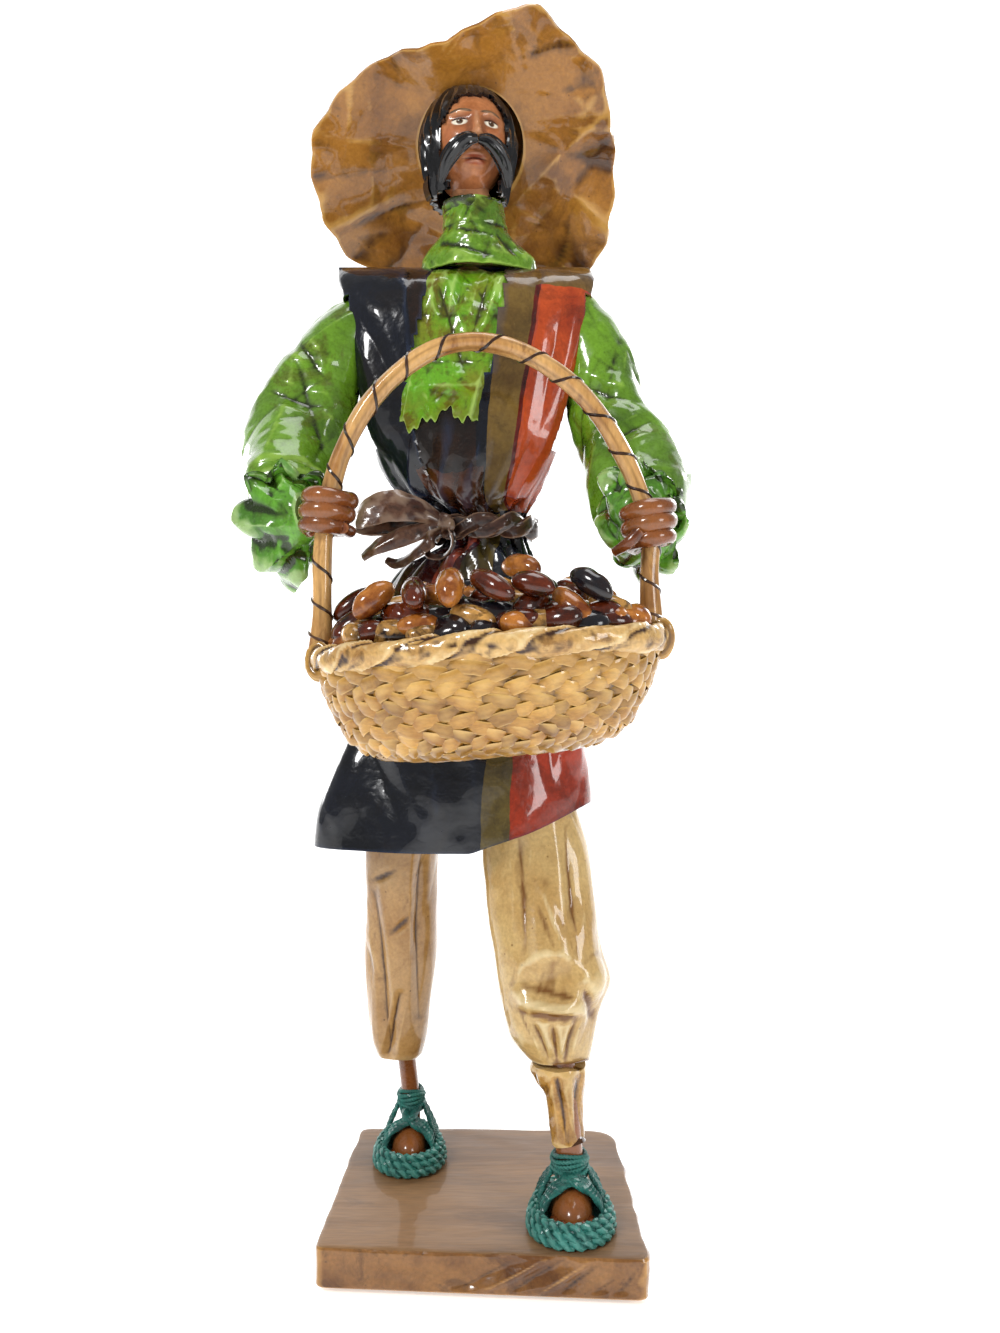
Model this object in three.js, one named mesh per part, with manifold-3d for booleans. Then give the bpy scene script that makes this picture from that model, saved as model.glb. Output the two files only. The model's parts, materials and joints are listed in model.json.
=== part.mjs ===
// A papier-mache figure of a bean seller: a man in a wide hat, a green shirt, a belted tunic and rolled
// trousers, holding a woven basket heaped with beans by its arched handle, on a paper-covered block.
// Millimetres, +Z up, the figure faces -Y. The origin is on the underside, below the middle of the block.
// "right" and "left" in names are the figure's own, so its right side is at -X.
import * as THREE from "three";
import { mergeVertices } from "three/addons/utils/BufferGeometryUtils.js";
import Module from "manifold-3d";

const wasm = await Module();
wasm.setup();

// ---------- driving dimensions ----------

const GROW = 0.6; // how far a piece is grown before it is cut out of its neighbour
const TAU = 2 * Math.PI;

const BACKING = { thick: 2.2, inset: 6 };
const BLOCK = {
  bottom: 2.5,
  top: 20.5,
  bevel: 1.6,
  // plan corners with the radius of each: front left, front right, back right, back left
  corners: [
    [-75, -64, 4],
    [69, -75, 5],
    [67, 64, 16],
    [-70, 67, 5],
  ],
};

const SANDAL = { sole: 3, rope: 3.9, strap: [3.4, 1.9], wrap: 2.7, ankleHeight: 23 };
const RIGHT_FOOT = { at: [-40.5, 29], half: [14, 23.5], turn: 0.05, rod: 4.6, rodTop: [-45.5, 27, 100] };
const LEFT_FOOT = { at: [37.5, -41], half: [15.5, 25], turn: -0.04, rod: 6.2, rodTop: [33.5, -26, 96] };

// Upright lofts: each row is a height, the middle of the section, and its half width and half depth.
const RIGHT_TROUSER = [
  [74, -46.6, 28, 11, 10],
  [82, -46.8, 27, 13.6, 13],
  [101, -47, 25, 15.8, 15],
  [127, -46.2, 22, 18, 17],
  [153, -45.2, 19, 18.3, 18],
  [179, -43.4, 15, 19, 17.5],
  [215, -37, 9, 19, 16],
  [262, -25, 2, 16, 13],
  [320, -13, 0, 8, 8],
];
const LEFT_TROUSER = [
  [88, 34, -25, 13.5, 12.5],
  [93, 32.6, -25, 16.5, 15],
  [102, 30.8, -25, 20.5, 19],
  [115.5, 31.2, -24, 24.6, 21.5],
  [125, 32.2, -23.5, 27.2, 22.5],
  [138.5, 29.3, -22, 26.6, 22],
  [162, 25, -17, 26.8, 19.5],
  [185, 21.5, -13, 26.3, 17.5],
  [202, 19.5, -11, 22.5, 16.5],
  [230, 14, -7, 18, 14],
  [265, 9.5, -3, 13.5, 12],
  [320, 8, -1, 6, 7],
];
const CALF_WRAP = [
  [52.5, 37.3, -30.5, 7.8, 8],
  [60, 36.6, -29.5, 8.2, 8.4],
  [72, 35.4, -28, 9.2, 9.4],
  [84, 33.2, -26, 13, 12.5],
  [87.5, 33.2, -26, 12.4, 12],
];

// The tunic: height, left and right edge, front and back face, and how square the section's corners are.
const TUNIC = {
  wall: 2.2,
  levels: [186, 205, 230, 258, 286, 308, 323, 331, 345, 356, 376, 406, 436, 454, 466],
  sections: [
    [186, -82, 48, -36, 36, 2.4],
    [207, -79, 48, -35, 35, 2.4],
    [240, -68.5, 45, -32, 31, 2.4],
    [282, -57, 35, -27.5, 26, 2.4],
    [308, -50, 25.5, -22, 20, 2.4],
    [322, -41, 21, -18, 17, 2.3],
    [331, -21.8, 17.2, -13.4, 12.4, 2.1],
    [345, -21.8, 17.2, -13.4, 12.4, 2.1],
    [352, -39, 20.5, -18.5, 17, 2.5],
    [362, -49.5, 26.5, -21, 18.5, 2.9],
    [378, -58, 33, -23, 19.5, 3.5],
    [396, -62.5, 37.5, -24, 20, 4],
    [430, -67, 45.5, -24, 20, 4.4],
    [452, -71, 50, -19, 17, 4],
    [461, -72.5, 50.5, -11, 10, 3],
    [466, -73, 49, -4, 4, 2.4],
  ],
  hemRise: 20, // how much higher the hem runs at its left end than at its right
  gathers: 11,
  gatherDepth: 1.3,
  // the neck opening's side edges, as height and position, from the shoulders to its foot
  neckLeft: [[389, -42], [399, -40], [470, -24]],
  neckRight: [[389, -6], [396, -4], [427, 3.5], [470, 11]],
  waist: { height: 338, tilt: 0.035 },
};
const BELT = { half: [23.6, 17], middle: [-2.3, -0.6], height: 6, thick: 2.2, twists: 3 };
const BOW = {
  knot: [-20, -20, 338],
  loop: [[-20, -21, 338], [-34, -25, 345], [-47, -27, 346], [-60, -26, 340]],
  tail: [[-20, -21, 337], [-36, -24, 337], [-49, -25, 331], [-60, -24, 325.5]],
  under: [[-20, -22, 336], [-29, -25, 330], [-36, -25, 322.5], [-46, -22, 321]],
};

const COLLAR = {
  wall: 2.4,
  sections: [
    [462.5, -4, -1, 27, 17],
    [468, -4, -1, 25, 16.5],
    [478, -6.7, 0, 18, 15.5],
    [486, -7.2, 0, 15.4, 14.6],
    [494, -7.5, 0, 14.6, 14],
  ],
};
const SHIRT_FRONT = { thick: 1.4, inset: 1.1, low: 390, high: 461 };

// Sleeves and cuffs: each row is a point of the middle line, and the half sizes across it.
const RIGHT_SLEEVE = [
  [-50, 0, 437, 12, 12],
  [-63, -1, 436, 16, 15],
  [-77, -5, 418, 20, 20],
  [-86.5, -11, 392, 25, 23],
  [-91.5, -21, 368, 24.5, 23],
  [-91, -35, 350, 19, 19],
  [-89, -44, 343, 15, 15],
];
const LEFT_SLEEVE = [
  [30, 0, 438, 12, 12],
  [42, -1, 438, 15, 14],
  [54, -5, 415, 19.5, 19],
  [58.5, -12, 386, 21.5, 21],
  [66, -24, 362, 22, 21],
  [70, -37, 348, 18, 18],
  [71, -46, 342, 14.5, 14.5],
];
const RIGHT_CUFF = [
  [-92, -41, 344, 17, 14],
  [-91, -47, 338, 25, 18],
  [-88, -55, 334.5, 25.5, 18.5],
  [-83, -61, 335.5, 17, 13],
  [-77, -64.5, 337, 9, 9],
];
const LEFT_CUFF = [
  [72, -42, 344, 16, 14],
  [69.5, -48, 338, 23.5, 16],
  [67, -56, 335, 24.5, 17.5],
  [68, -61, 333.5, 17, 13],
  [70, -65, 333, 10, 9],
];

const HEAD = { at: [-10, 2, 525], half: [20.5, 22.5, 26.5], turn: 0.2, nod: -0.1, neck: 9.2, neckLow: 468 };
const HAIR = { over: 1.13, window: [15, 19.5], drop: 8 };
const MOUSTACHE = [
  [-17, -14, -27, 1.6],
  [-15, -18, -20, 3.2],
  [-10.5, -22.5, -13.5, 3.8],
  [-5, -25, -9.5, 3.4],
  [0, -26, -8, 2.4],
  [5, -25, -9.5, 3.4],
  [10.5, -22.5, -13.5, 3.8],
  [15, -18, -20, 3.2],
  [17, -14, -27, 1.6],
];

// The hat: its plane leans back, with the crown behind the head and the brim's outline all round.
const HAT = {
  at: [-9, 14, 530],
  lean: (40 * Math.PI) / 180, // the crown's axis above the horizon
  thick: 1.8,
  opening: [26, 28.5],
  crown: { height: 40, top: 0.72 },
  dish: 7,
  wave: 3.2,
  // the outline's angle in degrees, from the figure's left and up, and its distance from the opening's middle
  outline: [
    [-5, 72],
    [14, 70],
    [30, 71],
    [41, 68],
    [50, 67],
    [57, 70],
    [65, 71.5],
    [73, 67],
    [85, 59],
    [104, 53],
    [124, 54.5],
    [138, 59],
    [150, 65],
    [167, 73],
    [176, 78],
    [195, 80.5],
    [207, 81.5],
    [224, 83],
    [270, 63],
    [307, 76],
    [316, 84],
    [324, 82.5],
    [337, 77],
  ],
};

const BASKET = {
  at: [1.2, -73],
  rim: 284.5,
  half: [75.5, 41.5],
  slope: 0.07, // the rim climbs to the figure's left
  // the outside from the foot up: share of the half sizes, and distance below the rim
  outside: [
    [0.5, 48.5],
    [0.66, 45.5],
    [0.79, 37],
    [0.88, 25.5],
    [0.93, 15.5],
    [0.95, 9.5],
    [0.99, 7.5],
    [1, 3.5],
    [0.97, 0],
  ],
  inside: [
    [0.9, 0],
    [0.86, 12],
    [0.8, 26],
    [0.64, 39],
  ],
  weave: 0.9,
};
const HANDLE = {
  radius: 4.5,
  // the arch's middle line from the figure's right to its left, as X and Z
  line: [
    [-71.5, 270],
    [-70.3, 292],
    [-70, 318],
    [-68, 338],
    [-61.5, 362],
    [-47, 387],
    [-25, 405],
    [-4, 409.5],
    [20, 402.5],
    [43, 384],
    [60, 357],
    [69, 330],
    [69, 308],
    [70.5, 280],
  ],
};

const BEAN = { count: 32, length: 10, girth: 6.3, sides: 6, rings: 4 };
const HEAP = { half: [66, 34], edge: 274.5, rise: 22 }; // the mound under the loose beans

// ---------- finishes ----------

const FINISH = {
  darkBoard: [0x2a2522, 0.85],
  brownPaper: [0x9a7448, 0.35],
  strawPaper: [0xa9762c, 0.25],
  creamPaper: [0xc9a56a, 0.3],
  navyPaper: [0x171c2c, 0.22],
  greenPaper: [0x6aa524, 0.2],
  brownSash: [0x6a4a38, 0.3],
  skin: [0x8a4b22, 0.25],
  face: [0xc07a4c, 0.3],
  blackPaint: [0x15151a, 0.2],
  tealRaffia: [0x2f7a72, 0.5],
  palmLeaf: [0xb98a45, 0.35],
  wrappedCane: [0xc79a5c, 0.3],
  bean: [0x6b3317, 0.15],
};

// ---------- making solids ----------

const lerp = (a, b, t) => a + (b - a) * t;
const vec = (values) => new THREE.Vector3(...values);

// A geometry with its shared points merged.
function welded(geometry) {
  const bare = geometry.clone();
  bare.deleteAttribute("normal");
  bare.deleteAttribute("uv");
  return mergeVertices(bare, 1e-4);
}

// A closed geometry as a solid, without its faces that have no area.
function solid(geometry) {
  const merged = welded(geometry);
  const corners = [];
  for (let i = 0; i < merged.index.count; i += 3) {
    const [a, b, c] = [0, 1, 2].map((k) => merged.index.getX(i + k));
    if (a !== b && b !== c && c !== a) corners.push(a, b, c);
  }
  const mesh = { numProp: 3, vertProperties: merged.attributes.position.array, triVerts: new Uint32Array(corners) };
  return new wasm.Manifold(new wasm.Mesh(mesh));
}

// A solid's surface as a geometry.
function geometryOf(body) {
  const mesh = body.getMesh();
  return new THREE.BufferGeometry()
    .setAttribute("position", new THREE.BufferAttribute(new Float32Array(mesh.vertProperties), 3))
    .setIndex(new THREE.BufferAttribute(new Uint32Array(mesh.triVerts), 1));
}

// A solid with its surface moved outwards.
function grown(body, by = GROW) {
  const surface = geometryOf(body);
  surface.computeVertexNormals();
  const { position, normal } = surface.attributes;
  for (let i = 0; i < position.count; i++) {
    const moved = vec([0, 0, 0]).fromBufferAttribute(position, i);
    moved.addScaledVector(vec([0, 0, 0]).fromBufferAttribute(normal, i), by);
    position.setXYZ(i, moved.x, moved.y, moved.z);
  }
  return solid(surface);
}

const joined = (bodies) => bodies.reduce((whole, body) => whole.add(body));
const cut = (body, ...tools) => largest(tools.reduce((left, tool) => left.subtract(tool), body));
const cleared = (body, ...neighbours) => cut(body, ...neighbours.map((neighbour) => grown(neighbour)));

// The biggest connected body of a solid, without the slivers that a cut can leave.
function largest(body) {
  return body.decompose().reduce((best, next) => (next.volume() > best.volume() ? next : best));
}

// Moves every point of a closed geometry by a function.
function shaped(geometry, move) {
  const moving = welded(geometry);
  const spots = moving.attributes.position;
  for (let i = 0; i < spots.count; i++) {
    const moved = move(vec([spots.getX(i), spots.getY(i), spots.getZ(i)]));
    spots.setXYZ(i, moved.x, moved.y, moved.z);
  }
  return solid(moving);
}

// A closed skin on a cylinder's grid: place(turn, rise) is a point of the wall, and the ends are flat fans.
function skin(rows, sides, place) {
  const hub = (rise) => {
    const middle = vec([0, 0, 0]);
    for (let i = 0; i < sides; i++) {
      middle.addScaledVector(place((i / sides) * TAU - TAU / 4, rise), 1 / sides);
    }
    return middle;
  };
  return shaped(new THREE.CylinderGeometry(1, 1, 1, sides, rows), (p) => {
    const rise = Math.round((p.y + 0.5) * rows) / rows;
    if (Math.hypot(p.x, p.z) < 0.5) return hub(rise);
    const column = Math.round((Math.atan2(p.x, p.z) / TAU) * sides + sides) % sides;
    return place((column / sides) * TAU - TAU / 4, rise);
  });
}

// Values between the rows of a table whose first column is the position: smooth, and exact on each row.
function between(table, at) {
  const last = table.length - 1;
  let i = 0;
  while (i < last - 1 && at > table[i + 1][0]) i++;
  const row = (n) => table[Math.min(Math.max(n, 0), last)];
  const [before, from, to, after] = [row(i - 1), row(i), row(i + 1), row(i + 2)];
  const t = Math.min(1, Math.max(0, (at - from[0]) / (to[0] - from[0])));
  const slope = (a, b, k) => ((b[k] - a[k]) / (b[0] - a[0])) * (to[0] - from[0]);
  return from.map((value, k) => {
    const [s0, s1] = [slope(before, to, k), slope(from, after, k)];
    const [t2, t3] = [t * t, t * t * t];
    return value * (2 * t3 - 3 * t2 + 1) + s0 * (t3 - 2 * t2 + t) + to[k] * (3 * t2 - 2 * t3) + s1 * (t3 - t2);
  });
}

// Crumpled paper, from -1 to 1: triangle waves along fixed slanted directions, so flat facets meet in creases.
const FOLD_LINES = [
  [0.9, 0.3, 0.35, 0.1],
  [-0.4, 0.5, 0.8, 0.45],
  [0.2, -0.8, 0.6, 0.7],
  [0.65, 0.55, -0.5, 0.3],
];
function crumple(x, y, z, size) {
  const waves = FOLD_LINES.map(([a, b, c, phase]) => {
    const s = (a * x + b * y + c * z) / size + phase;
    return Math.abs(s - Math.floor(s) - 0.5) * 4 - 1;
  });
  return waves.reduce((sum, wave) => sum + wave) / waves.length;
}

// An upright loft through horizontal sections of height, middle and half sizes, with crumpled walls.
function upright(sections, sides, rows, fold = 0, size = 24) {
  const [low, high] = [sections[0][0], sections[sections.length - 1][0]];
  return skin(rows, sides, (turn, rise) => {
    const [z, x, y, wide, deep] = between(sections, lerp(low, high, rise));
    const out = 1 + (fold / wide) * crumple(wide * Math.cos(turn), deep * Math.sin(turn), z, size);
    return vec([x + wide * out * Math.cos(turn), y + deep * out * Math.sin(turn), z]);
  });
}

// A tube along points with half sizes: the first is level, the second stands across it and the line.
function tube(stations, sides, rows, bulge = () => 1) {
  const curve = new THREE.CatmullRomCurve3(stations.map((s) => vec(s.slice(0, 3))), false, "centripetal");
  const sizes = stations.map((s, i) => [i / (stations.length - 1), ...s.slice(3)]);
  return skin(rows, sides, (turn, rise) => {
    const [, wide, deep] = between(sizes, rise);
    const along = curve.getTangent(rise);
    const level = vec([0, 0, 1]).cross(along);
    if (level.length() < 0.2) level.set(1, 0, 0).addScaledVector(along, -along.x);
    level.normalize();
    const across = along.clone().cross(level);
    const out = bulge(turn, rise);
    return curve
      .getPoint(rise)
      .addScaledVector(level, wide * out * Math.cos(turn))
      .addScaledVector(across, deep * out * Math.sin(turn));
  });
}

// A ring: the middle line is line(share) and the section's half sizes stand out and up, turned by twist.
function ring(line, half, tubular, radial, twists = 0) {
  return shaped(new THREE.TorusGeometry(2, 1, radial, tubular), (p) => {
    const share = ((Math.round((Math.atan2(p.y, p.x) / TAU) * tubular) + tubular) % tubular) / tubular;
    const [out, up] = [Math.hypot(p.x, p.y) - 2, p.z];
    const twist = twists * share * TAU * 0.5;
    const [a, b] = [half[0] * out, half[1] * up];
    const spot = line(share);
    const next = line(share + 0.01);
    const side = vec([next.y - spot.y, spot.x - next.x, 0]).normalize();
    return spot
      .addScaledVector(side, a * Math.cos(twist) - b * Math.sin(twist))
      .add(vec([0, 0, a * Math.sin(twist) + b * Math.cos(twist)]));
  });
}

const ellipsoid = (half, sides, rings) =>
  solid(new THREE.SphereGeometry(1, sides, rings).rotateX(TAU / 4).scale(...half));
const at = (body, spot) => body.translate(spot);

const root = new THREE.Group();

// Adds a solid to the figure as a named mesh in its finish.
function add(name, body, [color, roughness]) {
  const mesh = new THREE.Mesh(geometryOf(body), new THREE.MeshStandardMaterial({ color, roughness, metalness: 0 }));
  mesh.name = name;
  root.add(mesh);
}

// ---------- the block ----------

// A closed outline through corners, each rounded by its own radius and moved in by an inset.
function roundedOutline(corners, inset = 0) {
  const points = corners.map(([x, y]) => new THREE.Vector2(x - Math.sign(x) * inset, y - Math.sign(y) * inset));
  const outline = new THREE.Shape();
  points.forEach((corner, i) => {
    const radius = corners[i][2];
    const toward = (other) => other.clone().sub(corner).setLength(radius).add(corner);
    const start = toward(points[(i + 3) % 4]);
    const end = toward(points[(i + 1) % 4]);
    if (i === 0) outline.moveTo(start.x, start.y);
    else outline.lineTo(start.x, start.y);
    outline.quadraticCurveTo(corner.x, corner.y, end.x, end.y);
  });
  outline.closePath();
  return outline;
}

function blockSolid() {
  const { bottom, top, bevel, corners } = BLOCK;
  const options = {
    depth: top - bottom - 2 * bevel,
    curveSegments: 3,
    bevelThickness: bevel,
    bevelSize: bevel,
    bevelOffset: -bevel,
    bevelSegments: 1,
  };
  const body = at(solid(new THREE.ExtrudeGeometry(roundedOutline(corners), options)), [0, 0, bottom + bevel]);
  // the paper's gathered folds on the front face
  const folds = [
    [[4, -69, 4, 1.4, 1.2], [20, -70.5, 11, 2.2, 2], [38, -72, 18, 1, 1]],
    [[16, -70, 3.5, 1.6, 1.4], [34, -71.6, 7, 2.2, 2.2], [52, -73.4, 8, 1.2, 1.2]],
  ];
  return joined([body, ...folds.map((fold) => tube(fold, 6, 4))]);
}

const backing = at(
  solid(
    new THREE.ExtrudeGeometry(roundedOutline(BLOCK.corners, BACKING.inset), {
      depth: BACKING.thick,
      bevelEnabled: false,
      curveSegments: 2,
    }),
  ),
  [0, 0, 0],
);

// ---------- feet and sandals ----------

// An egg-shaped outline round a foot: wide at the toes, narrow at the heel. Share 0 is at the left side.
function sole({ at: [x, y], half: [wide, long], turn }, grow = 0) {
  return (share) => {
    const [c, s] = [Math.cos(share * TAU), Math.sin(share * TAU)];
    const across = (wide * (1 - 0.22 * s) + grow) * c;
    const along = (long + grow) * s;
    return vec([
      x + across * Math.cos(turn) - along * Math.sin(turn),
      y + across * Math.sin(turn) + along * Math.cos(turn),
      0,
    ]);
  };
}

// The foot with its toes, and the shin that carries the figure.
function footSolid(foot) {
  const floor = BLOCK.top + 0.3 + SANDAL.sole + 0.3;
  const [wide, long] = foot.half;
  const [x, y] = foot.at;
  const parts = [at(ellipsoid([wide * 0.7, long * 0.82, 11], 8, 5), [x, y + 1, floor + 4])];
  const shin = [
    [x, y + 8, floor + 6, foot.rod + 1, foot.rod + 1.5],
    [x, y + 8.5, floor + 22, foot.rod, foot.rod],
    [...foot.rodTop, foot.rod, foot.rod],
  ];
  parts.push(tube(shin, 7, 3));
  const under = solid(new THREE.BoxGeometry(120, 120, 40).translate(x, y, floor - 20));
  return cut(joined(parts), under);
}

// The sandal: a sole, a rope round it, two straps crossed over the instep and a wrap round the ankle.
function sandalSolid(foot, body) {
  const floor = BLOCK.top + 0.3;
  const ankle = floor + SANDAL.ankleHeight;
  const [x, y] = foot.at;
  const outline = new THREE.Shape(Array.from({ length: 12 }, (_, i) => sole(foot)(i / 12)));
  const slab = new THREE.ExtrudeGeometry(outline, { depth: SANDAL.sole, bevelEnabled: false });
  const plate = at(solid(slab), [0, 0, floor]);
  const edge = (share) => sole(foot, 1.2)(share).setZ(floor + SANDAL.rope);
  const rope = ring(edge, [SANDAL.rope, SANDAL.rope], 12, 4);
  const round = foot.rod + 1.6;
  const wrap = ring(
    (share) => vec([x + round * Math.cos(share * TAU), y + 8.6 + round * Math.sin(share * TAU), ankle]),
    [SANDAL.wrap, SANDAL.wrap * 1.6],
    8,
    4,
  );
  const straps = [-1, 1].map((side) =>
    tube(
      [
        [x + side * foot.half[0] * 1.02, y - foot.half[1] * 0.42, floor + 5, SANDAL.strap[0], SANDAL.strap[1]],
        [x + side * foot.half[0] * 0.5, y - 6, floor + 18, SANDAL.strap[0], SANDAL.strap[1]],
        [x - side * 2, y - 1, floor + 21.5, SANDAL.strap[0], SANDAL.strap[1]],
        [x - side * (foot.rod + 1), y + 5, ankle + 1, SANDAL.strap[0], SANDAL.strap[1]],
      ],
      4,
      4,
    ),
  );
  const under = solid(new THREE.BoxGeometry(120, 120, 40).translate(x, y, floor - 20));
  return cut(cleared(joined([plate, rope, wrap, ...straps]), body), under);
}

const rightFoot = footSolid(RIGHT_FOOT);
const leftFoot = footSolid(LEFT_FOOT);
const rightSandal = sandalSolid(RIGHT_FOOT, rightFoot);
const leftSandal = sandalSolid(LEFT_FOOT, leftFoot);

// ---------- the tunic ----------

// A point of the tunic's wall, moved in by an inset. The gathers fade away from the belt.
function tunicPoint(turn, height, inset = 0) {
  const [z, left, right, front, back, square] = between(TUNIC.sections, height);
  const [c, s] = [Math.cos(turn), Math.sin(turn)];
  const power = 2 / square;
  const nearWaist = Math.exp(-(((height - TUNIC.waist.height) / 26) ** 2));
  const depth = inset && inset + 4 * Math.exp(-(((height - TUNIC.waist.height) / 11) ** 2));
  const wide = (right - left) / 2 - depth;
  const deep = Math.max((s < 0 ? -front : back) - depth, 0.8);
  const nearHem = Math.min(1, Math.max(0, (250 - height) / 60));
  const gather = inset ? 0 : TUNIC.gatherDepth * nearWaist * Math.cos(TUNIC.gathers * turn);
  const wave = nearHem * 2.4 * Math.cos(5 * turn + 1.2);
  const x = (left + right) / 2 + (wide + wave * 0.6) * Math.sign(c) * Math.abs(c) ** power + gather * c;
  const y = (deep + gather + wave) * Math.sign(s) * Math.abs(s) ** power;
  const rise = TUNIC.hemRise * nearHem * Math.max(0, (x + 8) / 56);
  return vec([x, y, z + rise * Math.max(0, (240 - height) / 54)]);
}

// A block that fills the tunic's neck opening.
function neckTool() {
  return shaped(new THREE.BoxGeometry(1, 1, 1, 1, 1, 4), (p) => {
    const height = lerp(TUNIC.neckLeft[0][0], 475, p.z + 0.5);
    const left = between(TUNIC.neckLeft, height)[1];
    const right = between(TUNIC.neckRight, height)[1];
    return vec([lerp(left, right, p.x + 0.5), lerp(-60, -2, p.y + 0.5), height]);
  });
}

const hem = TUNIC.sections[0][0];
const shoulder = TUNIC.sections[TUNIC.sections.length - 1][0];
const outerTunic = skin(TUNIC.levels.length - 1, 28, (turn, rise) =>
  tunicPoint(turn, TUNIC.levels[Math.round(rise * (TUNIC.levels.length - 1))]),
);
const innerLevels = [186, 230, 286, 323, 331, 345, 376, 436, 453];
const hollow = skin(innerLevels.length - 1, 16, (turn, rise) => {
  const p = tunicPoint(turn, innerLevels[Math.round(rise * (innerLevels.length - 1))], TUNIC.wall);
  return rise === 0 ? p.setZ(hem - 12) : p;
});

const beltLine = (share) => {
  const [x, y] = BELT.middle;
  const spot = vec([x + BELT.half[0] * Math.cos(share * TAU), y + BELT.half[1] * Math.sin(share * TAU), 0]);
  return spot.setZ(TUNIC.waist.height + TUNIC.waist.tilt * (spot.x - x));
};
const belt = ring(beltLine, [BELT.thick, BELT.height], 24, 6, 0);

function bowSolid() {
  const band = (line, wide) => tube(line.map((p) => [...p, 1.1, wide]), 4, 4);
  const knot = at(ellipsoid([5, 4.5, 6], 7, 4), BOW.knot);
  const loop = tube(BOW.loop.map((p, i) => [...p, [3, 4.5, 4, 1.2][i], [3, 6.5, 8, 5][i]]), 7, 4);
  return joined([knot, loop, band(BOW.tail, 3.6), band(BOW.under, 3.2)]);
}

// ---------- the shirt ----------

const collarOuter = upright(COLLAR.sections, 14, 4, 0.7, 14);
const collarRows = COLLAR.sections.map(([z, x, y, w, d]) => {
  return [z < 464 ? z - 2 : z > 492 ? z + 2 : z, x, y, w - COLLAR.wall, d - COLLAR.wall];
});
const collarInner = upright(collarRows, 10, 3);
const collar = cut(collarOuter, collarInner);

function sleeveSolid(stations) {
  return tube(stations, 12, 10, (turn, rise) => {
    const fold = crumple(26 * Math.cos(turn), 26 * Math.sin(turn), rise * 120, 30);
    return 1 + 0.07 * fold;
  });
}

// A ruffled cuff: sharp pleats that open towards the widest part and close again at the wrist.
function cuffSolid(stations, pleats) {
  return tube(stations, 2 * pleats, 4, (turn, rise) => {
    const open = Math.sin(Math.PI * Math.min(1, rise * 1.1));
    return 1 + 0.13 * open * Math.cos(pleats * turn) + 0.06 * Math.sin(3 * turn + 4 * rise);
  });
}

// The shirt's breast as a thin sheet in the neck opening, with a torn lower edge.
function shirtFrontSolid() {
  return shaped(new THREE.BoxGeometry(1, 1, 1, 5, 1, 6), (p) => {
    const torn = p.z < -0.49 ? 2.2 * Math.abs(Math.sin(9 * p.x + 1)) : 0;
    const height = lerp(SHIRT_FRONT.low, SHIRT_FRONT.high, p.z + 0.5) + torn;
    const left = between(TUNIC.neckLeft, height)[1] + 0.45;
    const right = between(TUNIC.neckRight, height)[1] - 0.45;
    const x = lerp(left, right, p.x + 0.5);
    const face = tunicFace(x, height) + SHIRT_FRONT.inset + 0.5 * crumple(x, 0, height, 18);
    return vec([x, face + (p.y > 0 ? SHIRT_FRONT.thick : 0), height]);
  });
}

// The tunic's front face above the belt, as the position of a point at x and a height.
function tunicFace(x, height) {
  const [, left, right, front, , square] = between(TUNIC.sections, height);
  const share = Math.min(0.98, Math.abs((x - (left + right) / 2) / ((right - left) / 2)));
  return front * (1 - share ** square) ** (1 / square);
}

const rightSleeve = sleeveSolid(RIGHT_SLEEVE);
const leftSleeve = sleeveSolid(LEFT_SLEEVE);
const tunicShell = cut(outerTunic, hollow, neckTool());
const collarRoom = upright(
  COLLAR.sections.map(([z, x, y, w, d]) => [z < 464 ? z - 0.6 : z, x, y, w + 0.5, d + 0.5]),
  14,
  4,
  0.7,
  14,
);
const tunic = cut(tunicShell, collarRoom, grown(rightSleeve, 0.9), grown(leftSleeve, 1.15));
const bow = cleared(bowSolid(), belt, tunic);
const shirtFront = cleared(shirtFrontSolid(), collar, tunic);

// ---------- the trousers ----------

// The legs end inside the skirt, just below the tunic's waist. A shin enters each from below.
function trouserSolid(sections, shin, fold) {
  const cloth = upright(sections, 11, 10, fold);
  return cleared(cloth, shin);
}

const calfWrap = cleared(upright(CALF_WRAP, 10, 4, 0.8, 14), leftFoot, leftSandal);
const rightTrouser = cleared(trouserSolid(RIGHT_TROUSER, rightFoot, 1.4), tunic);
const leftTrouser = cleared(trouserSolid(LEFT_TROUSER, leftFoot, 1.8), tunic, calfWrap);

// ---------- basket, handle and beans ----------

const handleLine = HANDLE.line.map(([x, z]) => [x, BASKET.at[1], z, HANDLE.radius, HANDLE.radius]);
const handle = tube(handleLine, 7, 23);

// The basket's wall turns about an upright axis, is stretched to an oval and carries a woven relief.
function basketSolid() {
  const { at: [x, y], rim, half, slope, outside, inside, weave } = BASKET;
  const profile = [[0.0001, 50.5], ...outside, ...inside, [0.0001, 44]];
  const points = profile.map(([share, below]) => new THREE.Vector2(share < 0.001 ? 0 : share, -below));
  return shaped(new THREE.LatheGeometry(points, 25), (p) => {
    const share = Math.hypot(p.x, p.z);
    const turn = Math.atan2(p.x, p.z);
    const plaited = share > 0.6 && p.y < -8 && p.y > -47;
    const strand = plaited ? Math.cos(9 * turn + Math.round(p.y / 9) * Math.PI) : 0;
    const wide = (half[0] + weave * strand) * share * Math.sin(turn);
    const deep = (half[1] + weave * strand) * share * Math.cos(turn);
    return vec([x + wide, y - deep, rim + p.y + slope * wide]);
  });
}

// A repeatable stream of numbers from 0 to 1.
function stream(seed) {
  let state = seed;
  return () => {
    state = (state * 16807) % 2147483647;
    return state / 2147483647;
  };
}

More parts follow.
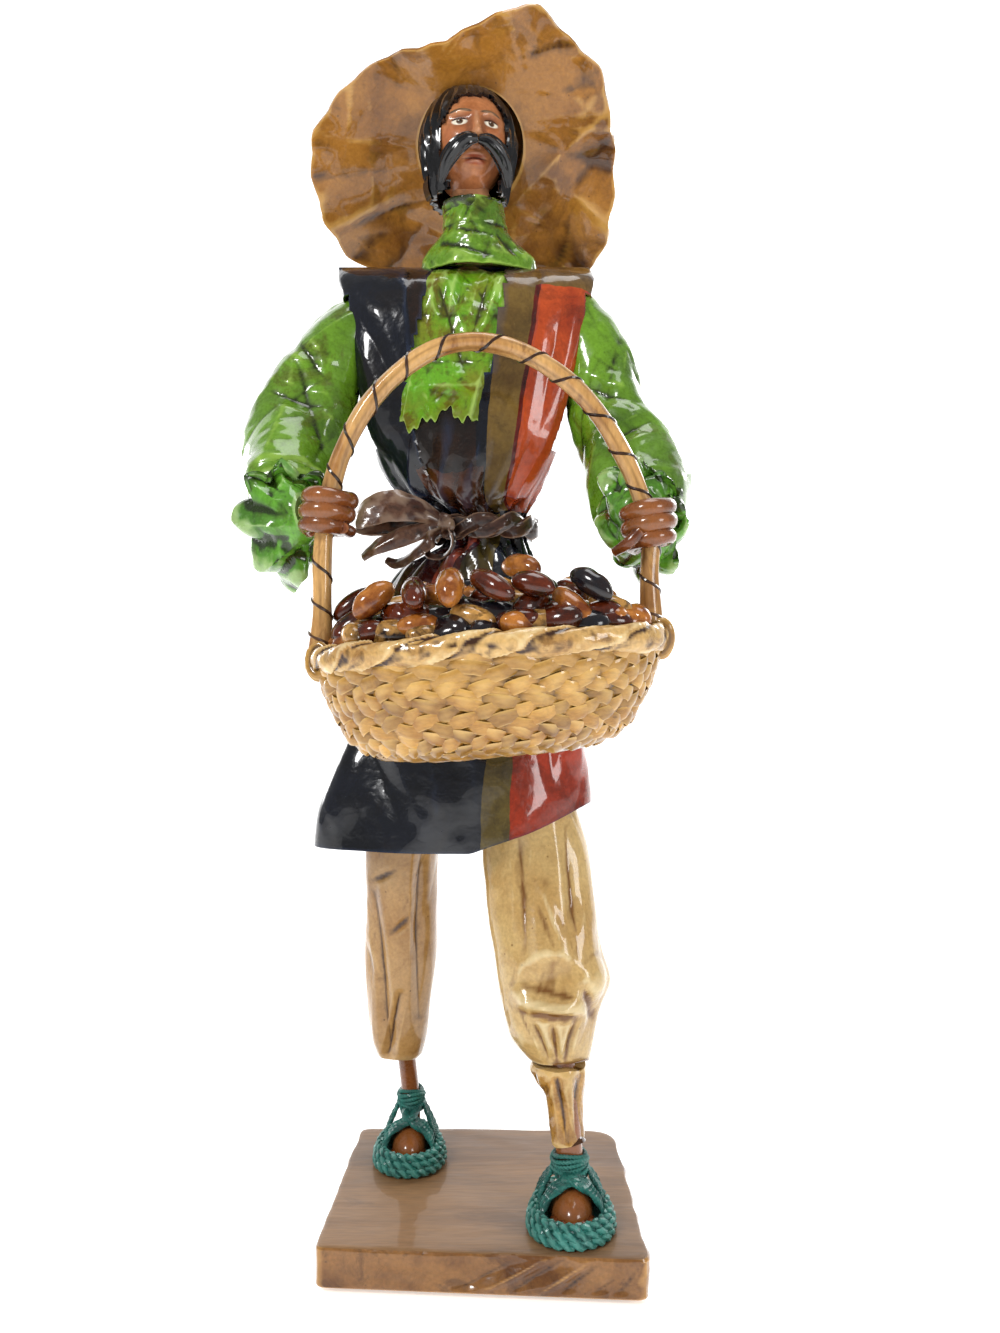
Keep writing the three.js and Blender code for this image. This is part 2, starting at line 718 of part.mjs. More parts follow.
// The mound's height at a place in the basket.
function heapHeight(x, y) {
  const share = (x / HEAP.half[0]) ** 2 + (y / HEAP.half[1]) ** 2;
  return HEAP.edge + HEAP.rise * Math.max(0, 1 - share) ** 0.5 + BASKET.slope * x;
}

// The nearest points of two short axes, as the vector from one to the other.
function apart(a, b) {
  let best = null;
  for (let i = -1; i <= 1; i += 0.25) {
    const spot = a.at.clone().addScaledVector(a.along, i * a.reach);
    const near = spot.clone().sub(b.at);
    const t = Math.max(-b.reach, Math.min(b.reach, near.dot(b.along)));
    const gap = near.addScaledVector(b.along, -t);
    if (!best || gap.length() < best.length()) best = gap;
  }
  return best;
}

// Beans spread over the heap and pushed apart until none touches another.
function layBeans() {
  const random = stream(7);
  const beans = Array.from({ length: BEAN.count }, (_, i) => {
    const spread = Math.sqrt((i + 0.5) / BEAN.count);
    const turn = i * 2.39996;
    const size = 0.86 + 0.3 * random();
    const heading = random() * TAU;
    return {
      at: vec([
        HEAP.half[0] * 0.92 * spread * Math.cos(turn),
        HEAP.half[1] * 0.85 * spread * Math.sin(turn),
        0,
      ]),
      heading,
      tilt: (random() - 0.5) * 0.7,
      length: BEAN.length * size,
      girth: BEAN.girth * (0.9 + 0.2 * random()) * size ** 0.5,
      lift: i % 3 === 1 ? 10 : 0, // some lie on the others
    };
  });
  for (let round = 0; round < 260; round++) {
    for (const bean of beans) {
      const share = Math.hypot(bean.at.x / (HEAP.half[0] - 7), bean.at.y / (HEAP.half[1] - 6));
      if (share > 1) bean.at.multiplyScalar(1 / share);
      bean.at.z = heapHeight(bean.at.x, bean.at.y) + bean.girth + 0.5 + bean.lift;
      const fall = (heapHeight(bean.at.x + Math.cos(bean.heading), bean.at.y + Math.sin(bean.heading)) -
        heapHeight(bean.at.x - Math.cos(bean.heading), bean.at.y - Math.sin(bean.heading))) / 2;
      const tilt = Math.atan(Math.max(-0.8, Math.min(0.8, fall))) + bean.tilt * 0.5;
      const level = [Math.cos(bean.heading), Math.sin(bean.heading)].map((part) => part * Math.cos(tilt));
      bean.along = vec([...level, Math.sin(tilt)]);
      bean.reach = bean.length - bean.girth;
    }
    beans.forEach((a, i) =>
      beans.slice(i + 1).forEach((b) => {
        const gap = apart(a, b);
        const need = a.girth + b.girth + 0.35 - gap.length();
        if (need <= 0) return;
        const push = gap.clone().setZ(0);
        if (push.length() < 0.01) push.set(1, 0, 0);
        push.setLength(need * 0.55 + 0.02);
        a.at.add(push);
        b.at.sub(push);
      }),
    );
  }
  return beans;
}

function beanSolid(bean) {
  const turned = new THREE.Quaternion().setFromUnitVectors(vec([1, 0, 0]), bean.along);
  const shape = new THREE.SphereGeometry(1, BEAN.sides, BEAN.rings).rotateZ(TAU / 4);
  shape.scale(bean.length, bean.girth * 0.92, bean.girth).applyQuaternion(turned);
  shape.translate(...bean.at.toArray());
  // it lies on the mound
  const spots = shape.attributes.position;
  const sunk = Array.from({ length: spots.count }, (_, i) => {
    return heapHeight(spots.getX(i), spots.getY(i)) - spots.getZ(i);
  });
  const rise = Math.max(0, Math.max(...sunk) + 0.5);
  return solid(shape.translate(BASKET.at[0], BASKET.at[1], rise));
}

const basket = cleared(basketSolid(), handle);
const beans = layBeans();
const beanSolids = beans.map((bean) => beanSolid(bean));

// The lower beans as one mound that fills the basket under the loose ones.
function bedSolid() {
  const { at: [x, y], rim, half } = BASKET;
  const levels = [[0.56, 38.5], [0.62, 36.5], [0.72, 28], [0.8, 14], [0.84, 9]];
  return skin(7, 20, (turn, rise) => {
    const i = Math.round(rise * 7);
    const share = i < 5 ? levels[i][0] : [0.66, 0.44, 0.2][i - 5];
    const spot = [half[0] * share * Math.cos(turn), half[1] * share * Math.sin(turn)];
    const top = Math.min(heapHeight(...spot), 400);
    const z = i < 5 ? rim - levels[i][1] + BASKET.slope * spot[0] : top;
    return vec([x + spot[0], y + spot[1], z]);
  });
}

// ---------- hands ----------

// A fist round the handle: curled fingers side by side, a palm towards the wrist and a thumb.
function handSolid({ spot, lean, fist, fingers, palm, thumb }) {
  const [radius, thick, tall] = fist;
  const curled = shaped(new THREE.TorusGeometry(2, 1, 4 * fingers, 10), (p) => {
    const turn = Math.atan2(p.y, p.x);
    const [out, up] = [Math.hypot(p.x, p.y) - 2, p.z];
    const knuckle = out > 0 ? 1.1 * Math.abs(Math.cos(Math.PI * fingers * 0.5 * (up + 1))) : 0;
    const from = radius + thick * out - knuckle * out;
    return vec([from * Math.cos(turn), from * Math.sin(turn), tall * up]);
  });
  const heel = at(ellipsoid(palm.half, 8, 5), palm.at);
  return joined([at(curled.rotate([0, lean, 0]), spot), heel, tube(thumb, 5, 3)]);
}

const RIGHT_HAND = {
  spot: [-68, -73, 338],
  lean: 11,
  fist: [8.4, 2.7, 9.2],
  fingers: 3,
  palm: { at: [-73.5, -63.4, 338], half: [8.5, 4.3, 8] },
  thumb: [
    [-63.5, -66, 331, 2.2, 2.6],
    [-58.5, -71, 329, 2.6, 3],
    [-60.5, -79.5, 329.5, 2.4, 2.6],
  ],
};
const LEFT_HAND = {
  spot: [68.6, -73, 333],
  lean: -6,
  fist: [8.6, 2.9, 9.6],
  fingers: 3,
  palm: { at: [71, -63.4, 333], half: [8.5, 4.3, 8.5] },
  thumb: [
    [64, -82.5, 328, 2.4, 2.6],
    [59, -82, 323, 2.4, 2.4],
    [53.5, -78, 319.5, 1.8, 1.8],
  ],
};
const rightHand = handSolid(RIGHT_HAND);
const leftHand = handSolid(LEFT_HAND);
const rightCuff = cleared(cuffSolid(RIGHT_CUFF, 7), rightSleeve, rightHand, handle);
const leftCuff = cleared(cuffSolid(LEFT_CUFF, 7), leftSleeve, leftHand, handle);

// ---------- head and hat ----------

// Turns a point of the head's own frame into the figure's.
function headPlace(x, y, z) {
  return vec([x, y, z])
    .applyEuler(new THREE.Euler(HEAD.nod, 0, HEAD.turn))
    .add(vec(HEAD.at));
}

// A soft bump centred on a place of the face.
const bump = (x, z, cx, cz, wide, high) => Math.exp(-(((x - cx) / wide) ** 2) - ((z - cz) / high) ** 2);

function headSurface(p, over = 1) {
  const [wide, deep, high] = HEAD.half;
  const taper = p.z < 0 ? 1 - 0.3 * Math.abs(p.z) ** 1.6 : 1;
  const x = wide * p.x * taper * over;
  const z = high * p.z * over;
  let y = deep * p.y * (p.y < 0 && p.z < 0 ? 1 - 0.12 * Math.abs(p.z) ** 3 : 1) * over;
  if (p.y < 0 && over === 1) {
    y -= 4.6 * bump(x, z, 0, -3.5, 2.8, 4) + 2 * bump(x, z, 0, 2.5, 2.2, 5);
    y += 1.7 * (bump(x, z, -7.5, 3.2, 4.2, 2.8) + bump(x, z, 7.5, 3.2, 4.2, 2.8));
    y -= 1.8 * bump(x, z, 0, -20, 5.5, 4);
  }
  return headPlace(x, y, z);
}

function headSolid() {
  const skull = shaped(new THREE.SphereGeometry(1, 16, 12).rotateX(TAU / 4), (p) => headSurface(p));
  const [x, y, z] = HEAD.at;
  const throat = [[x + 3, y - 2, HEAD.neckLow], [x + 2.5, y - 2, 486], [x, y + 1, z - 10]];
  const neck = tube(throat.map((spot) => [...spot, HEAD.neck, HEAD.neck]), 8, 2);
  return joined([skull, neck]);
}

function hairSolid() {
  const skull = shaped(new THREE.SphereGeometry(1, 14, 9).rotateX(TAU / 4), (p) => headSurface(p, 1.05));

  const cap = shaped(new THREE.SphereGeometry(1, 14, 10).rotateX(TAU / 4), (p) => {
    const low = p.z < -0.2 ? HAIR.drop * (-0.2 - p.z) : 0;
    const back = p.y > 0 ? 1 : 0.93;
    const spot = headSurface(vec([p.x, p.y * back, p.z]), HAIR.over);
    return spot.setZ(spot.z - low * 0.4);
  });
  const opening = new THREE.SphereGeometry(1, 12, 6).rotateX(TAU / 4);
  const window = solid(opening.scale(HAIR.window[0], 30, HAIR.window[1] + 8));
  const [nod, turn] = [(HEAD.nod / TAU) * 360, (HEAD.turn / TAU) * 360];
  const face = at(window.rotate([nod, 0, turn]), headPlace(0, -26, -6).toArray());
  const [x, y, z] = HEAD.at;
  const neck = tube([[x + 2.5, y - 2, z - 60, 16, 16], [x + 1, y, z - 17, 14, 14]], 8, 1);
  return cut(cap, skull, neck, face);
}

const head = headSolid();
const hair = hairSolid();
const moustacheLine = MOUSTACHE.map(([x, y, z, r]) => [...headPlace(x, y, z).toArray(), r, r]);
const moustache = cleared(tube(moustacheLine, 7, 10), head, hair, collar);

// The brim's outline: its distance from the middle of the opening at an angle.
function brimReach(angle) {
  const { outline } = HAT;
  const wrapped = [
    [outline[outline.length - 1][0] - 360, outline[outline.length - 1][1]],
    ...outline,
    [outline[0][0] + 360, outline[0][1]],
    [outline[1][0] + 360, outline[1][1]],
  ];
  return between(wrapped, (((angle + 5) % 360) + 360) % 360 - 5)[1];
}

function hatSolid() {
  const { thick, opening, crown, dish, wave } = HAT;
  const brim = [0, 0.22, 0.45, 0.7, 1];
  // how far out each point of the profile is: up to 1 on the crown, and from 1 to 2 across the brim
  const profile = [
    [0, crown.height],
    [crown.top * 0.7, crown.height - 2],
    [crown.top, crown.height - 10],
    [0.96, 12],
    ...brim.map((share) => [1 + share, 0]),
    [2, -thick],
    ...[...brim].reverse().slice(1).map((share) => [1 + share, -thick]),
    [0.9, 8],
    [crown.top - 0.08, crown.height - 14],
    [0, crown.height - thick * 2],
  ];
  const lathe = new THREE.LatheGeometry(profile.map(([out, up]) => new THREE.Vector2(out, up)), 25);
  const [sin, cos] = [Math.sin(HAT.lean), Math.cos(HAT.lean)];
  return shaped(lathe, (p) => {
    const out = Math.hypot(p.x, p.z);
    const turn = Math.atan2(-p.z, p.x);
    const reach = brimReach((turn * 360) / TAU);
    const inner = Math.hypot(opening[0] * Math.cos(turn), opening[1] * Math.sin(turn));
    const share = Math.max(0, out - 1);
    const radius = share > 0 ? lerp(inner, reach, share) : inner * out;
    const waves = Math.sin(3 * turn + 0.6) + 0.6 * Math.sin(5 * turn + 2) + 0.6 * Math.cos(8 * turn);
    const ripple = share * wave * waves;
    const u = radius * Math.cos(turn);
    const v = radius * Math.sin(turn);
    const w = p.y - dish * share ** 2 + ripple;
    return vec([HAT.at[0] + u, HAT.at[1] - v * sin + w * cos, HAT.at[2] + v * cos + w * sin]);
  });
}

const hat = cleared(hatSolid(), head, hair);

// ---------- the figure ----------

add("base_backing", backing, FINISH.darkBoard);
add("base_block", blockSolid(), FINISH.brownPaper);
add("right_foot", rightFoot, FINISH.skin);
add("left_foot", leftFoot, FINISH.skin);
add("right_sandal", rightSandal, FINISH.tealRaffia);
add("left_sandal", leftSandal, FINISH.tealRaffia);
add("right_trouser_leg", rightTrouser, FINISH.creamPaper);
add("left_trouser_leg", leftTrouser, FINISH.creamPaper);
add("left_calf_wrap", calfWrap, FINISH.creamPaper);
add("tunic", tunic, FINISH.navyPaper);
add("sash", belt, FINISH.brownSash);
add("sash_bow", bow, FINISH.brownSash);
add("shirt_collar", collar, FINISH.greenPaper);
add("shirt_front", shirtFront, FINISH.greenPaper);
add("right_sleeve", rightSleeve, FINISH.greenPaper);
add("left_sleeve", leftSleeve, FINISH.greenPaper);
add("right_cuff", rightCuff, FINISH.greenPaper);
add("left_cuff", leftCuff, FINISH.greenPaper);
add("right_hand", rightHand, FINISH.skin);
add("left_hand", leftHand, FINISH.skin);
add("head", head, FINISH.face);
add("hair", hair, FINISH.blackPaint);
add("moustache", moustache, FINISH.blackPaint);
add("hat", hat, FINISH.strawPaper);
add("basket", basket, FINISH.palmLeaf);
add("basket_handle", handle, FINISH.wrappedCane);
add("bean_bed", cleared(bedSolid(), handle, basket), FINISH.bean);
beanSolids.forEach((body, i) => add(`bean_${String(i + 1).padStart(2, "0")}`, body, FINISH.bean));

export default root;
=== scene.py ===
"""A papier-mache figure of a bean seller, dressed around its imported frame.

Sizes are in millimetres until a mesh is finished, in the frame's own axes: +Z up, the figure faces -Y.
"right" and "left" are the figure's own, so its right side is at -X.
"""

import json
import logging
import math
from dataclasses import dataclass
from enum import Enum
from typing import Callable, Sequence

import bmesh
import bpy
import numpy as np
from mathutils import Euler, Matrix, Quaternion, Vector

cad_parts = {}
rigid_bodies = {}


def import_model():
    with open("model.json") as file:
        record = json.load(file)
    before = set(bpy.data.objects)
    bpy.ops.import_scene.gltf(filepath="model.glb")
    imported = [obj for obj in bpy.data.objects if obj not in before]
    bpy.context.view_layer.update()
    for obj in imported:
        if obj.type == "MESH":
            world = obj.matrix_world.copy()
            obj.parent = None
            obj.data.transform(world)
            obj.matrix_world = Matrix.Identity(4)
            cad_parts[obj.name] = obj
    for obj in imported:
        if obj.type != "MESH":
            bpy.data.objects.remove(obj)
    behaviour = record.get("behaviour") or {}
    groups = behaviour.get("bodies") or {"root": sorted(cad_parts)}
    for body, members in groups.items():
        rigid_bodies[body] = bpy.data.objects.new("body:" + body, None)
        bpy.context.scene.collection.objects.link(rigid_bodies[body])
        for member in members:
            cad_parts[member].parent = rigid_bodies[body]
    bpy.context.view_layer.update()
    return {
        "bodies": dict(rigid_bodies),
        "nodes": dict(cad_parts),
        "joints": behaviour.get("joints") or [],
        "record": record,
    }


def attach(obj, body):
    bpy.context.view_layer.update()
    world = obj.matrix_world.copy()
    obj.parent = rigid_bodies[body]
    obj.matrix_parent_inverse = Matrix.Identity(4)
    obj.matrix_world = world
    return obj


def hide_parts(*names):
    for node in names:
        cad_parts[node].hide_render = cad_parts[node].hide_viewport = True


log = logging.getLogger("bean_seller")

MM = 0.001
TAU = 2 * math.pi
Array = np.ndarray
Mesh = bmesh.types.BMesh
Table = Sequence[Sequence[float]]
Place = Callable[[Array, Array], Array]


# ---------- numbers ----------


def between(table: Table, at: Array) -> Array:
    """Smooth values between the rows of a table, exact on each row.

    Args:
        table: rows whose first column is the position.
        at: the positions asked for.

    Returns:
        One row of values for each position, without the first column.
    """
    rows = np.asarray(table, float)
    last = len(rows) - 1
    i = np.clip(np.searchsorted(rows[:, 0], at, side="right") - 1, 0, last - 1)
    before, start, end, after = (rows[np.clip(i + k, 0, last)] for k in (-1, 0, 1, 2))
    span = end[:, :1] - start[:, :1]
    t = np.clip((np.asarray(at)[:, None] - start[:, :1]) / span, 0, 1)
    slope_in = (end - before) / (end[:, :1] - before[:, :1]) * span
    slope_out = (after - start) / (after[:, :1] - start[:, :1]) * span
    t2, t3 = t * t, t * t * t
    value = (start * (2 * t3 - 3 * t2 + 1) + slope_in * (t3 - 2 * t2 + t) + end * (3 * t2 - 2 * t3)
             + slope_out * (t3 - t2))
    return value[:, 1:]


def zigzag(s: Array) -> Array:
    """A triangle wave of period 1, from -1 to 1."""
    return np.abs(s - np.floor(s) - 0.5) * 4 - 1


def power(value: Array, exponent: Array | float) -> Array:
    """A power that keeps the sign of its value."""
    return np.sign(value) * np.abs(value) ** exponent


def stack(*columns: Array | float) -> Array:
    """Points from their columns."""
    return np.stack(np.broadcast_arrays(*columns), axis=-1).astype(float)


def bump(x: Array, z: Array, spot: Sequence[float]) -> Array:
    """A soft bump of height 1: spot is its middle and its half sizes."""
    return np.exp(-(((x - spot[0]) / spot[2]) ** 2) - ((z - spot[1]) / spot[3]) ** 2)


# ---------- reliefs: heights over a smooth form, from points and normals ----------


@dataclass(frozen=True)
class Creases:
    """Hand-crumpled paper: flat facets that meet in sharp creases, with calm and busy places."""

    size: float
    depth: float
    seed: int
    fine: float = 0.27
    stretch: tuple[float, float, float] = (1.0, 1.0, 1.0)

    def __call__(self, p: Array, n: Array) -> Array:
        """Heights of the creases.

        Args:
            p: points.
            n: normals.

        Returns:
            A height for each point.
        """
        random = np.random.default_rng(self.seed)
        q = p / np.asarray(self.stretch)
        total = np.zeros(len(p))
        for octave in range(3):
            size = self.size / 2.3**octave
            waves = []
            for _ in range(5):
                way, across = random.normal(size=3), random.normal(size=3)
                way, across = way / np.linalg.norm(way), across / np.linalg.norm(across)
                bend = 0.3 * np.sin(q @ across / size * 1.7 + random.uniform(0, TAU))
                waves.append(zigzag(q @ way / size / 1.6 + random.uniform() + bend))
            busy = np.clip(0.65 + 0.75 * waves[4], 0.1, 1.3) if octave else 1
            total += busy * self.fine**octave * (np.maximum(waves[0], waves[1])
                                                 - np.maximum(waves[2], waves[3]))
        return self.depth * total * 0.5


@dataclass(frozen=True)
class Fold:
    """One long crease on the front or the back: a valley, or a ridge where deep is negative."""

    start: tuple[float, float]
    end: tuple[float, float]
    wide: float
    deep: float
    front: bool = True

    def __call__(self, p: Array, n: Array) -> Array:
        """Heights of the fold, seen along Y.

        Args:
            p: points.
            n: normals.

        Returns:
            A height for each point.
        """
        a, b = np.asarray(self.start), np.asarray(self.end)
        flat = p[:, [0, 2]]
        along = b - a
        t = np.clip((flat - a) @ along / (along @ along), 0, 1)
        off = np.linalg.norm(flat - a - t[:, None] * along, axis=1)
        facing = np.clip((-n[:, 1] if self.front else n[:, 1]) * 2.5, 0, 1)
        return -self.deep * np.clip(1 - off / self.wide, 0, 1) * np.sin(math.pi * (0.12 + 0.76 * t)) * facing


@dataclass(frozen=True)
class Dent:
    """A pushed-in place on the front or the back with a raised lip, or a swelling where deep is negative."""

    middle: tuple[float, float]
    half: tuple[float, float]
    deep: float
    lip: float = 0.3
    front: bool = True

    def __call__(self, p: Array, n: Array) -> Array:
        """Heights of the dent, seen along Y.

        Args:
            p: points.
            n: normals.

        Returns:
            A height for each point.
        """
        far = np.hypot((p[:, 0] - self.middle[0]) / self.half[0], (p[:, 2] - self.middle[1]) / self.half[1])
        facing = np.clip((-n[:, 1] if self.front else n[:, 1]) * 2.5, 0, 1)
        bowl = np.clip(1 - far**1.6, 0, 1) - self.lip * np.exp(-(((far - 1.05) / 0.2) ** 2))
        return -self.deep * bowl * facing


Relief = Callable[[Array, Array], Array]


# ---------- meshes ----------


def spots(bm: Mesh) -> Array:
    """The points of a mesh."""
    return np.array([v.co[:] for v in bm.verts])


def centres(bm: Mesh) -> Array:
    """The middles of a mesh's faces."""
    return np.array([face.calc_center_median()[:] for face in bm.faces])


def remove(bm: Mesh, chosen: Array) -> None:
    """Removes the chosen faces of a mesh."""
    bmesh.ops.delete(bm, geom=[face for face, out in zip(bm.faces, chosen) if out], context="FACES")


def remap(bm: Mesh, place: Callable[[Array, Array], Array]) -> None:
    """Gives a mesh new UVs.

    Args:
        bm: the mesh.
        place: gives them from arrays of corner points and their old UVs.
    """
    layer = bm.loops.layers.uv.active
    loops = [loop for face in bm.faces for loop in face.loops]
    new = place(np.array([loop.vert.co[:] for loop in loops]),
                np.array([loop[layer].uv[:] for loop in loops]))
    for loop, uv in zip(loops, new):
        loop[layer].uv = uv


def place_spots(bm: Mesh, points: Array) -> None:
    """Moves the points of a mesh."""
    for v, co in zip(bm.verts, points):
        v.co = co


def skin(columns: int, rows: int, place: Place, weld: bool = True) -> Mesh:
    """A grid bent into a surface that faces outwards where u turns anticlockwise and v climbs.

    Args:
        columns: cells along u.
        rows: cells along v.
        place: gives points for arrays of u and v, each from 0 to 1.
        weld: joins the seam and the poles.

    Returns:
        The mesh, with u and v as its UV map.
    """
    bm = bmesh.new()
    bm.loops.layers.uv.new("UVMap")
    bmesh.ops.create_grid(bm, x_segments=columns, y_segments=rows, size=0.5, calc_uvs=True)
    uv = np.clip(spots(bm)[:, :2] + 0.5, 0, 1)
    place_spots(bm, place(uv[:, 0], uv[:, 1]))
    if weld:
        bmesh.ops.remove_doubles(bm, verts=bm.verts, dist=1e-4)
        bmesh.ops.dissolve_degenerate(bm, edges=bm.edges, dist=1e-5)
    return bm


def sweep(path: Array, sizes: Array, sides: int, upright: Sequence[float] = (0, 0, 1), loop: bool = False,
          ridge: Callable[[Array, Array], Array] | None = None, twist: float = 0.0,
          lean: float = 0.0) -> Mesh:
    """A tube along a path.

    Args:
        path: the middle line's points.
        sizes: half sizes beside the line and across it, for each point.
        sides: cells around the tube.
        upright: a direction the line never follows, which sets how the tube is turned.
        loop: closes the line on itself, its last point being its first.
        ridge: a factor on the radius from the angle and the share of the length.
        twist: whole turns of the section along the line.
        lean: the section's turn about the line, in radians.

    Returns:
        The mesh: open lines get rounded ends.
    """
    if not loop:
        path = np.vstack([path[:1], path, path[-1:]])
        sizes = np.vstack([sizes[:1] * 0, sizes, sizes[-1:] * 0])
    ahead = np.roll(path[:-1] if loop else path, -1, axis=0)
    behind = np.roll(path[:-1] if loop else path, 1, axis=0)
    tangent = ahead - behind
    if loop:
        tangent = np.vstack([tangent, tangent[:1]])
    else:
        tangent[:2] = path[2] - path[1]
        tangent[-2:] = path[-2] - path[-3]
    tangent /= np.linalg.norm(tangent, axis=1)[:, None]
    beside = np.cross(np.asarray(upright, float), tangent)
    beside /= np.linalg.norm(beside, axis=1)[:, None]
    across = np.cross(tangent, beside)
    last = len(path) - 1

    def place(u: Array, v: Array) -> Array:
        """Points of the tube's wall.

        Args:
            u: the share round it.
            v: the share along it.

        Returns:
            The points.
        """
        i = np.rint(v * last).astype(int)
        turn = u * TAU
        factor = ridge(turn, v) if ridge else np.ones(len(u))
        wide, deep = sizes[i, 0] * factor * np.cos(turn), sizes[i, 1] * factor * np.sin(turn)
        turned = lean + twist * TAU * v
        out = wide * np.cos(turned) - deep * np.sin(turned)
        up = wide * np.sin(turned) + deep * np.cos(turned)
        return path[i] + beside[i] * out[:, None] + across[i] * up[:, None]

    return skin(sides, last, place)


def curve(points: Table, count: int) -> Array:
    """A smooth line of count points through rows of values, spaced by the length of their first three."""
    rows = np.asarray(points, float)
    steps = np.linalg.norm(np.diff(rows[:, :3], axis=0), axis=1)
    keys = np.concatenate([[0], np.cumsum(steps)])
    return between(np.column_stack([keys, rows]), np.linspace(0, keys[-1], count))


def relieve(bm: Mesh, *reliefs: Relief) -> Mesh:
    """Moves the points along their normals by the sum of some reliefs, and returns the mesh."""
    bm.normal_update()
    p, n = spots(bm), np.array([v.normal[:] for v in bm.verts])
    place_spots(bm, p + n * sum(relief(p, n) for relief in reliefs)[:, None])
    return bm


def gather(parts: Sequence[Mesh]) -> Mesh:
    """One mesh that holds some others, each with its own value of the attribute "tone".

    Args:
        parts: the meshes, which are used up.

    Returns:
        The mesh that holds them all.
    """
    whole = bmesh.new()
    whole.verts.layers.float.new("tone")
    random = np.random.default_rng(len(parts))
    for part in parts:
        tone = part.verts.layers.float.get("tone") or part.verts.layers.float.new("tone")
        value = random.uniform()
        for v in part.verts:
            v[tone] = value
        passing = bpy.data.meshes.new("passing")
        part.to_mesh(passing)
        part.free()
        whole.from_mesh(passing)
        bpy.data.meshes.remove(passing)
    return whole


def thicken(bm: Mesh, thick: float) -> Mesh:
    """Gives a sheet its thickness inwards, and returns the mesh.

    Args:
        bm: the sheet, its faces outwards.
        thick: the thickness in millimetres.

    Returns:
        The same mesh, closed along its borders.
    """
    bm.normal_update()
    inner = bm.verts[:]
    shift = {v: v.normal.copy() for v in inner}
    sheet = bm.faces[:]
    bmesh.ops.extrude_face_region(bm, geom=sheet, use_keep_orig=True)
    for v in inner:
        v.co -= shift[v] * thick
    bmesh.ops.reverse_faces(bm, faces=sheet)
    return bm


def mark_folds(bm: Mesh, reach: float = 2.2, deep: float = 0.3) -> None:
    """Writes the attribute "fold": above 0 where the surface rises and below 0 where it sinks; the finishes
    paint highlights and shade from it.

    Args:
        bm: the mesh.
        reach: how far around a point its height is judged, in millimetres.
        deep: the height that counts as 1.
    """
    bm.normal_update()
    bm.verts.index_update()
    p, n = spots(bm), np.array([v.normal[:] for v in bm.verts])
    a, b = np.array([[v.index for v in e.verts] for e in bm.edges]).T
    step = float(np.mean(np.linalg.norm(p[a] - p[b], axis=1)))
    size = len(p)
    count = np.maximum(np.bincount(a, minlength=size) + np.bincount(b, minlength=size), 1)
    soft = p
    for _ in range(int(np.clip(2 * (reach / step) ** 2, 2, 24))):
        near = [np.bincount(a, soft[b, k], size) + np.bincount(b, soft[a, k], size) for k in range(3)]
        soft = 0.5 * soft + 0.5 * np.stack(near, axis=1) / count[:, None]
    height = np.einsum("ij,ij->i", p - soft, n)
    fold = np.clip((height - np.median(height)) / deep, -1, 1)
    layer = bm.verts.layers.float.new("fold")
    for v, value in zip(bm.verts, fold):
        v[layer] = value


def finish_piece(bm: Mesh, name: str, materials: Sequence[bpy.types.Material],
                 nodes: Sequence[str], sharp: float = 38.0) -> bpy.types.Object:
    """Makes a mesh an object of the figure.

    Args:
        bm: the mesh, in millimetres.
        name: the piece's name.
        materials: its materials, the first for every face that names no other.
        nodes: the CAD nodes that it stands for.
        sharp: the angle in degrees past which an edge is drawn sharp.

    Returns:
        The object.
    """
    mark_folds(bm)
    bmesh.ops.scale(bm, vec=(MM, MM, MM), verts=bm.verts)
    mesh = bpy.data.meshes.new(name)
    bm.to_mesh(mesh)
    bm.free()
    mesh.shade_smooth()
    mesh.set_sharp_from_angle(angle=math.radians(sharp))
    for material in materials:
        mesh.materials.append(material)
    piece = bpy.data.objects.new(name, mesh)
    bpy.context.collection.objects.link(piece)
    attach(piece, "root")
    if nodes:
        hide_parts(*nodes)
    log.info("%s: %d faces", name, len(mesh.polygons))
    return piece


# ---------- finishes ----------


def colour(code: str) -> tuple[float, float, float, float]:
    """A linear colour from an sRGB hex code such as "8a5a1e"."""
    parts = [int(code[i : i + 2], 16) / 255 for i in (0, 2, 4)]
    linear = [c / 12.92 if c <= 0.04045 else ((c + 0.055) / 1.055) ** 2.4 for c in parts]
    return (linear[0], linear[1], linear[2], 1.0)


def node(tree: bpy.types.NodeTree, kind: str, settings: dict | None = None,
         links: dict | None = None) -> bpy.types.Node:
    """Adds a node.

    Args:
        tree: the material's node tree.
        kind: the node's type.
        settings: its properties.
        links: for a socket's name or number, a value or the socket that feeds it.

    Returns:
        The node.
    """
    made = tree.nodes.new("ShaderNode" + kind)
    for key, value in (settings or {}).items():
        setattr(made, key, value)
    for key, value in (links or {}).items():
        if isinstance(value, bpy.types.NodeSocket):
            tree.links.new(value, made.inputs[key])
        else:
            made.inputs[key].default_value = value
    return made


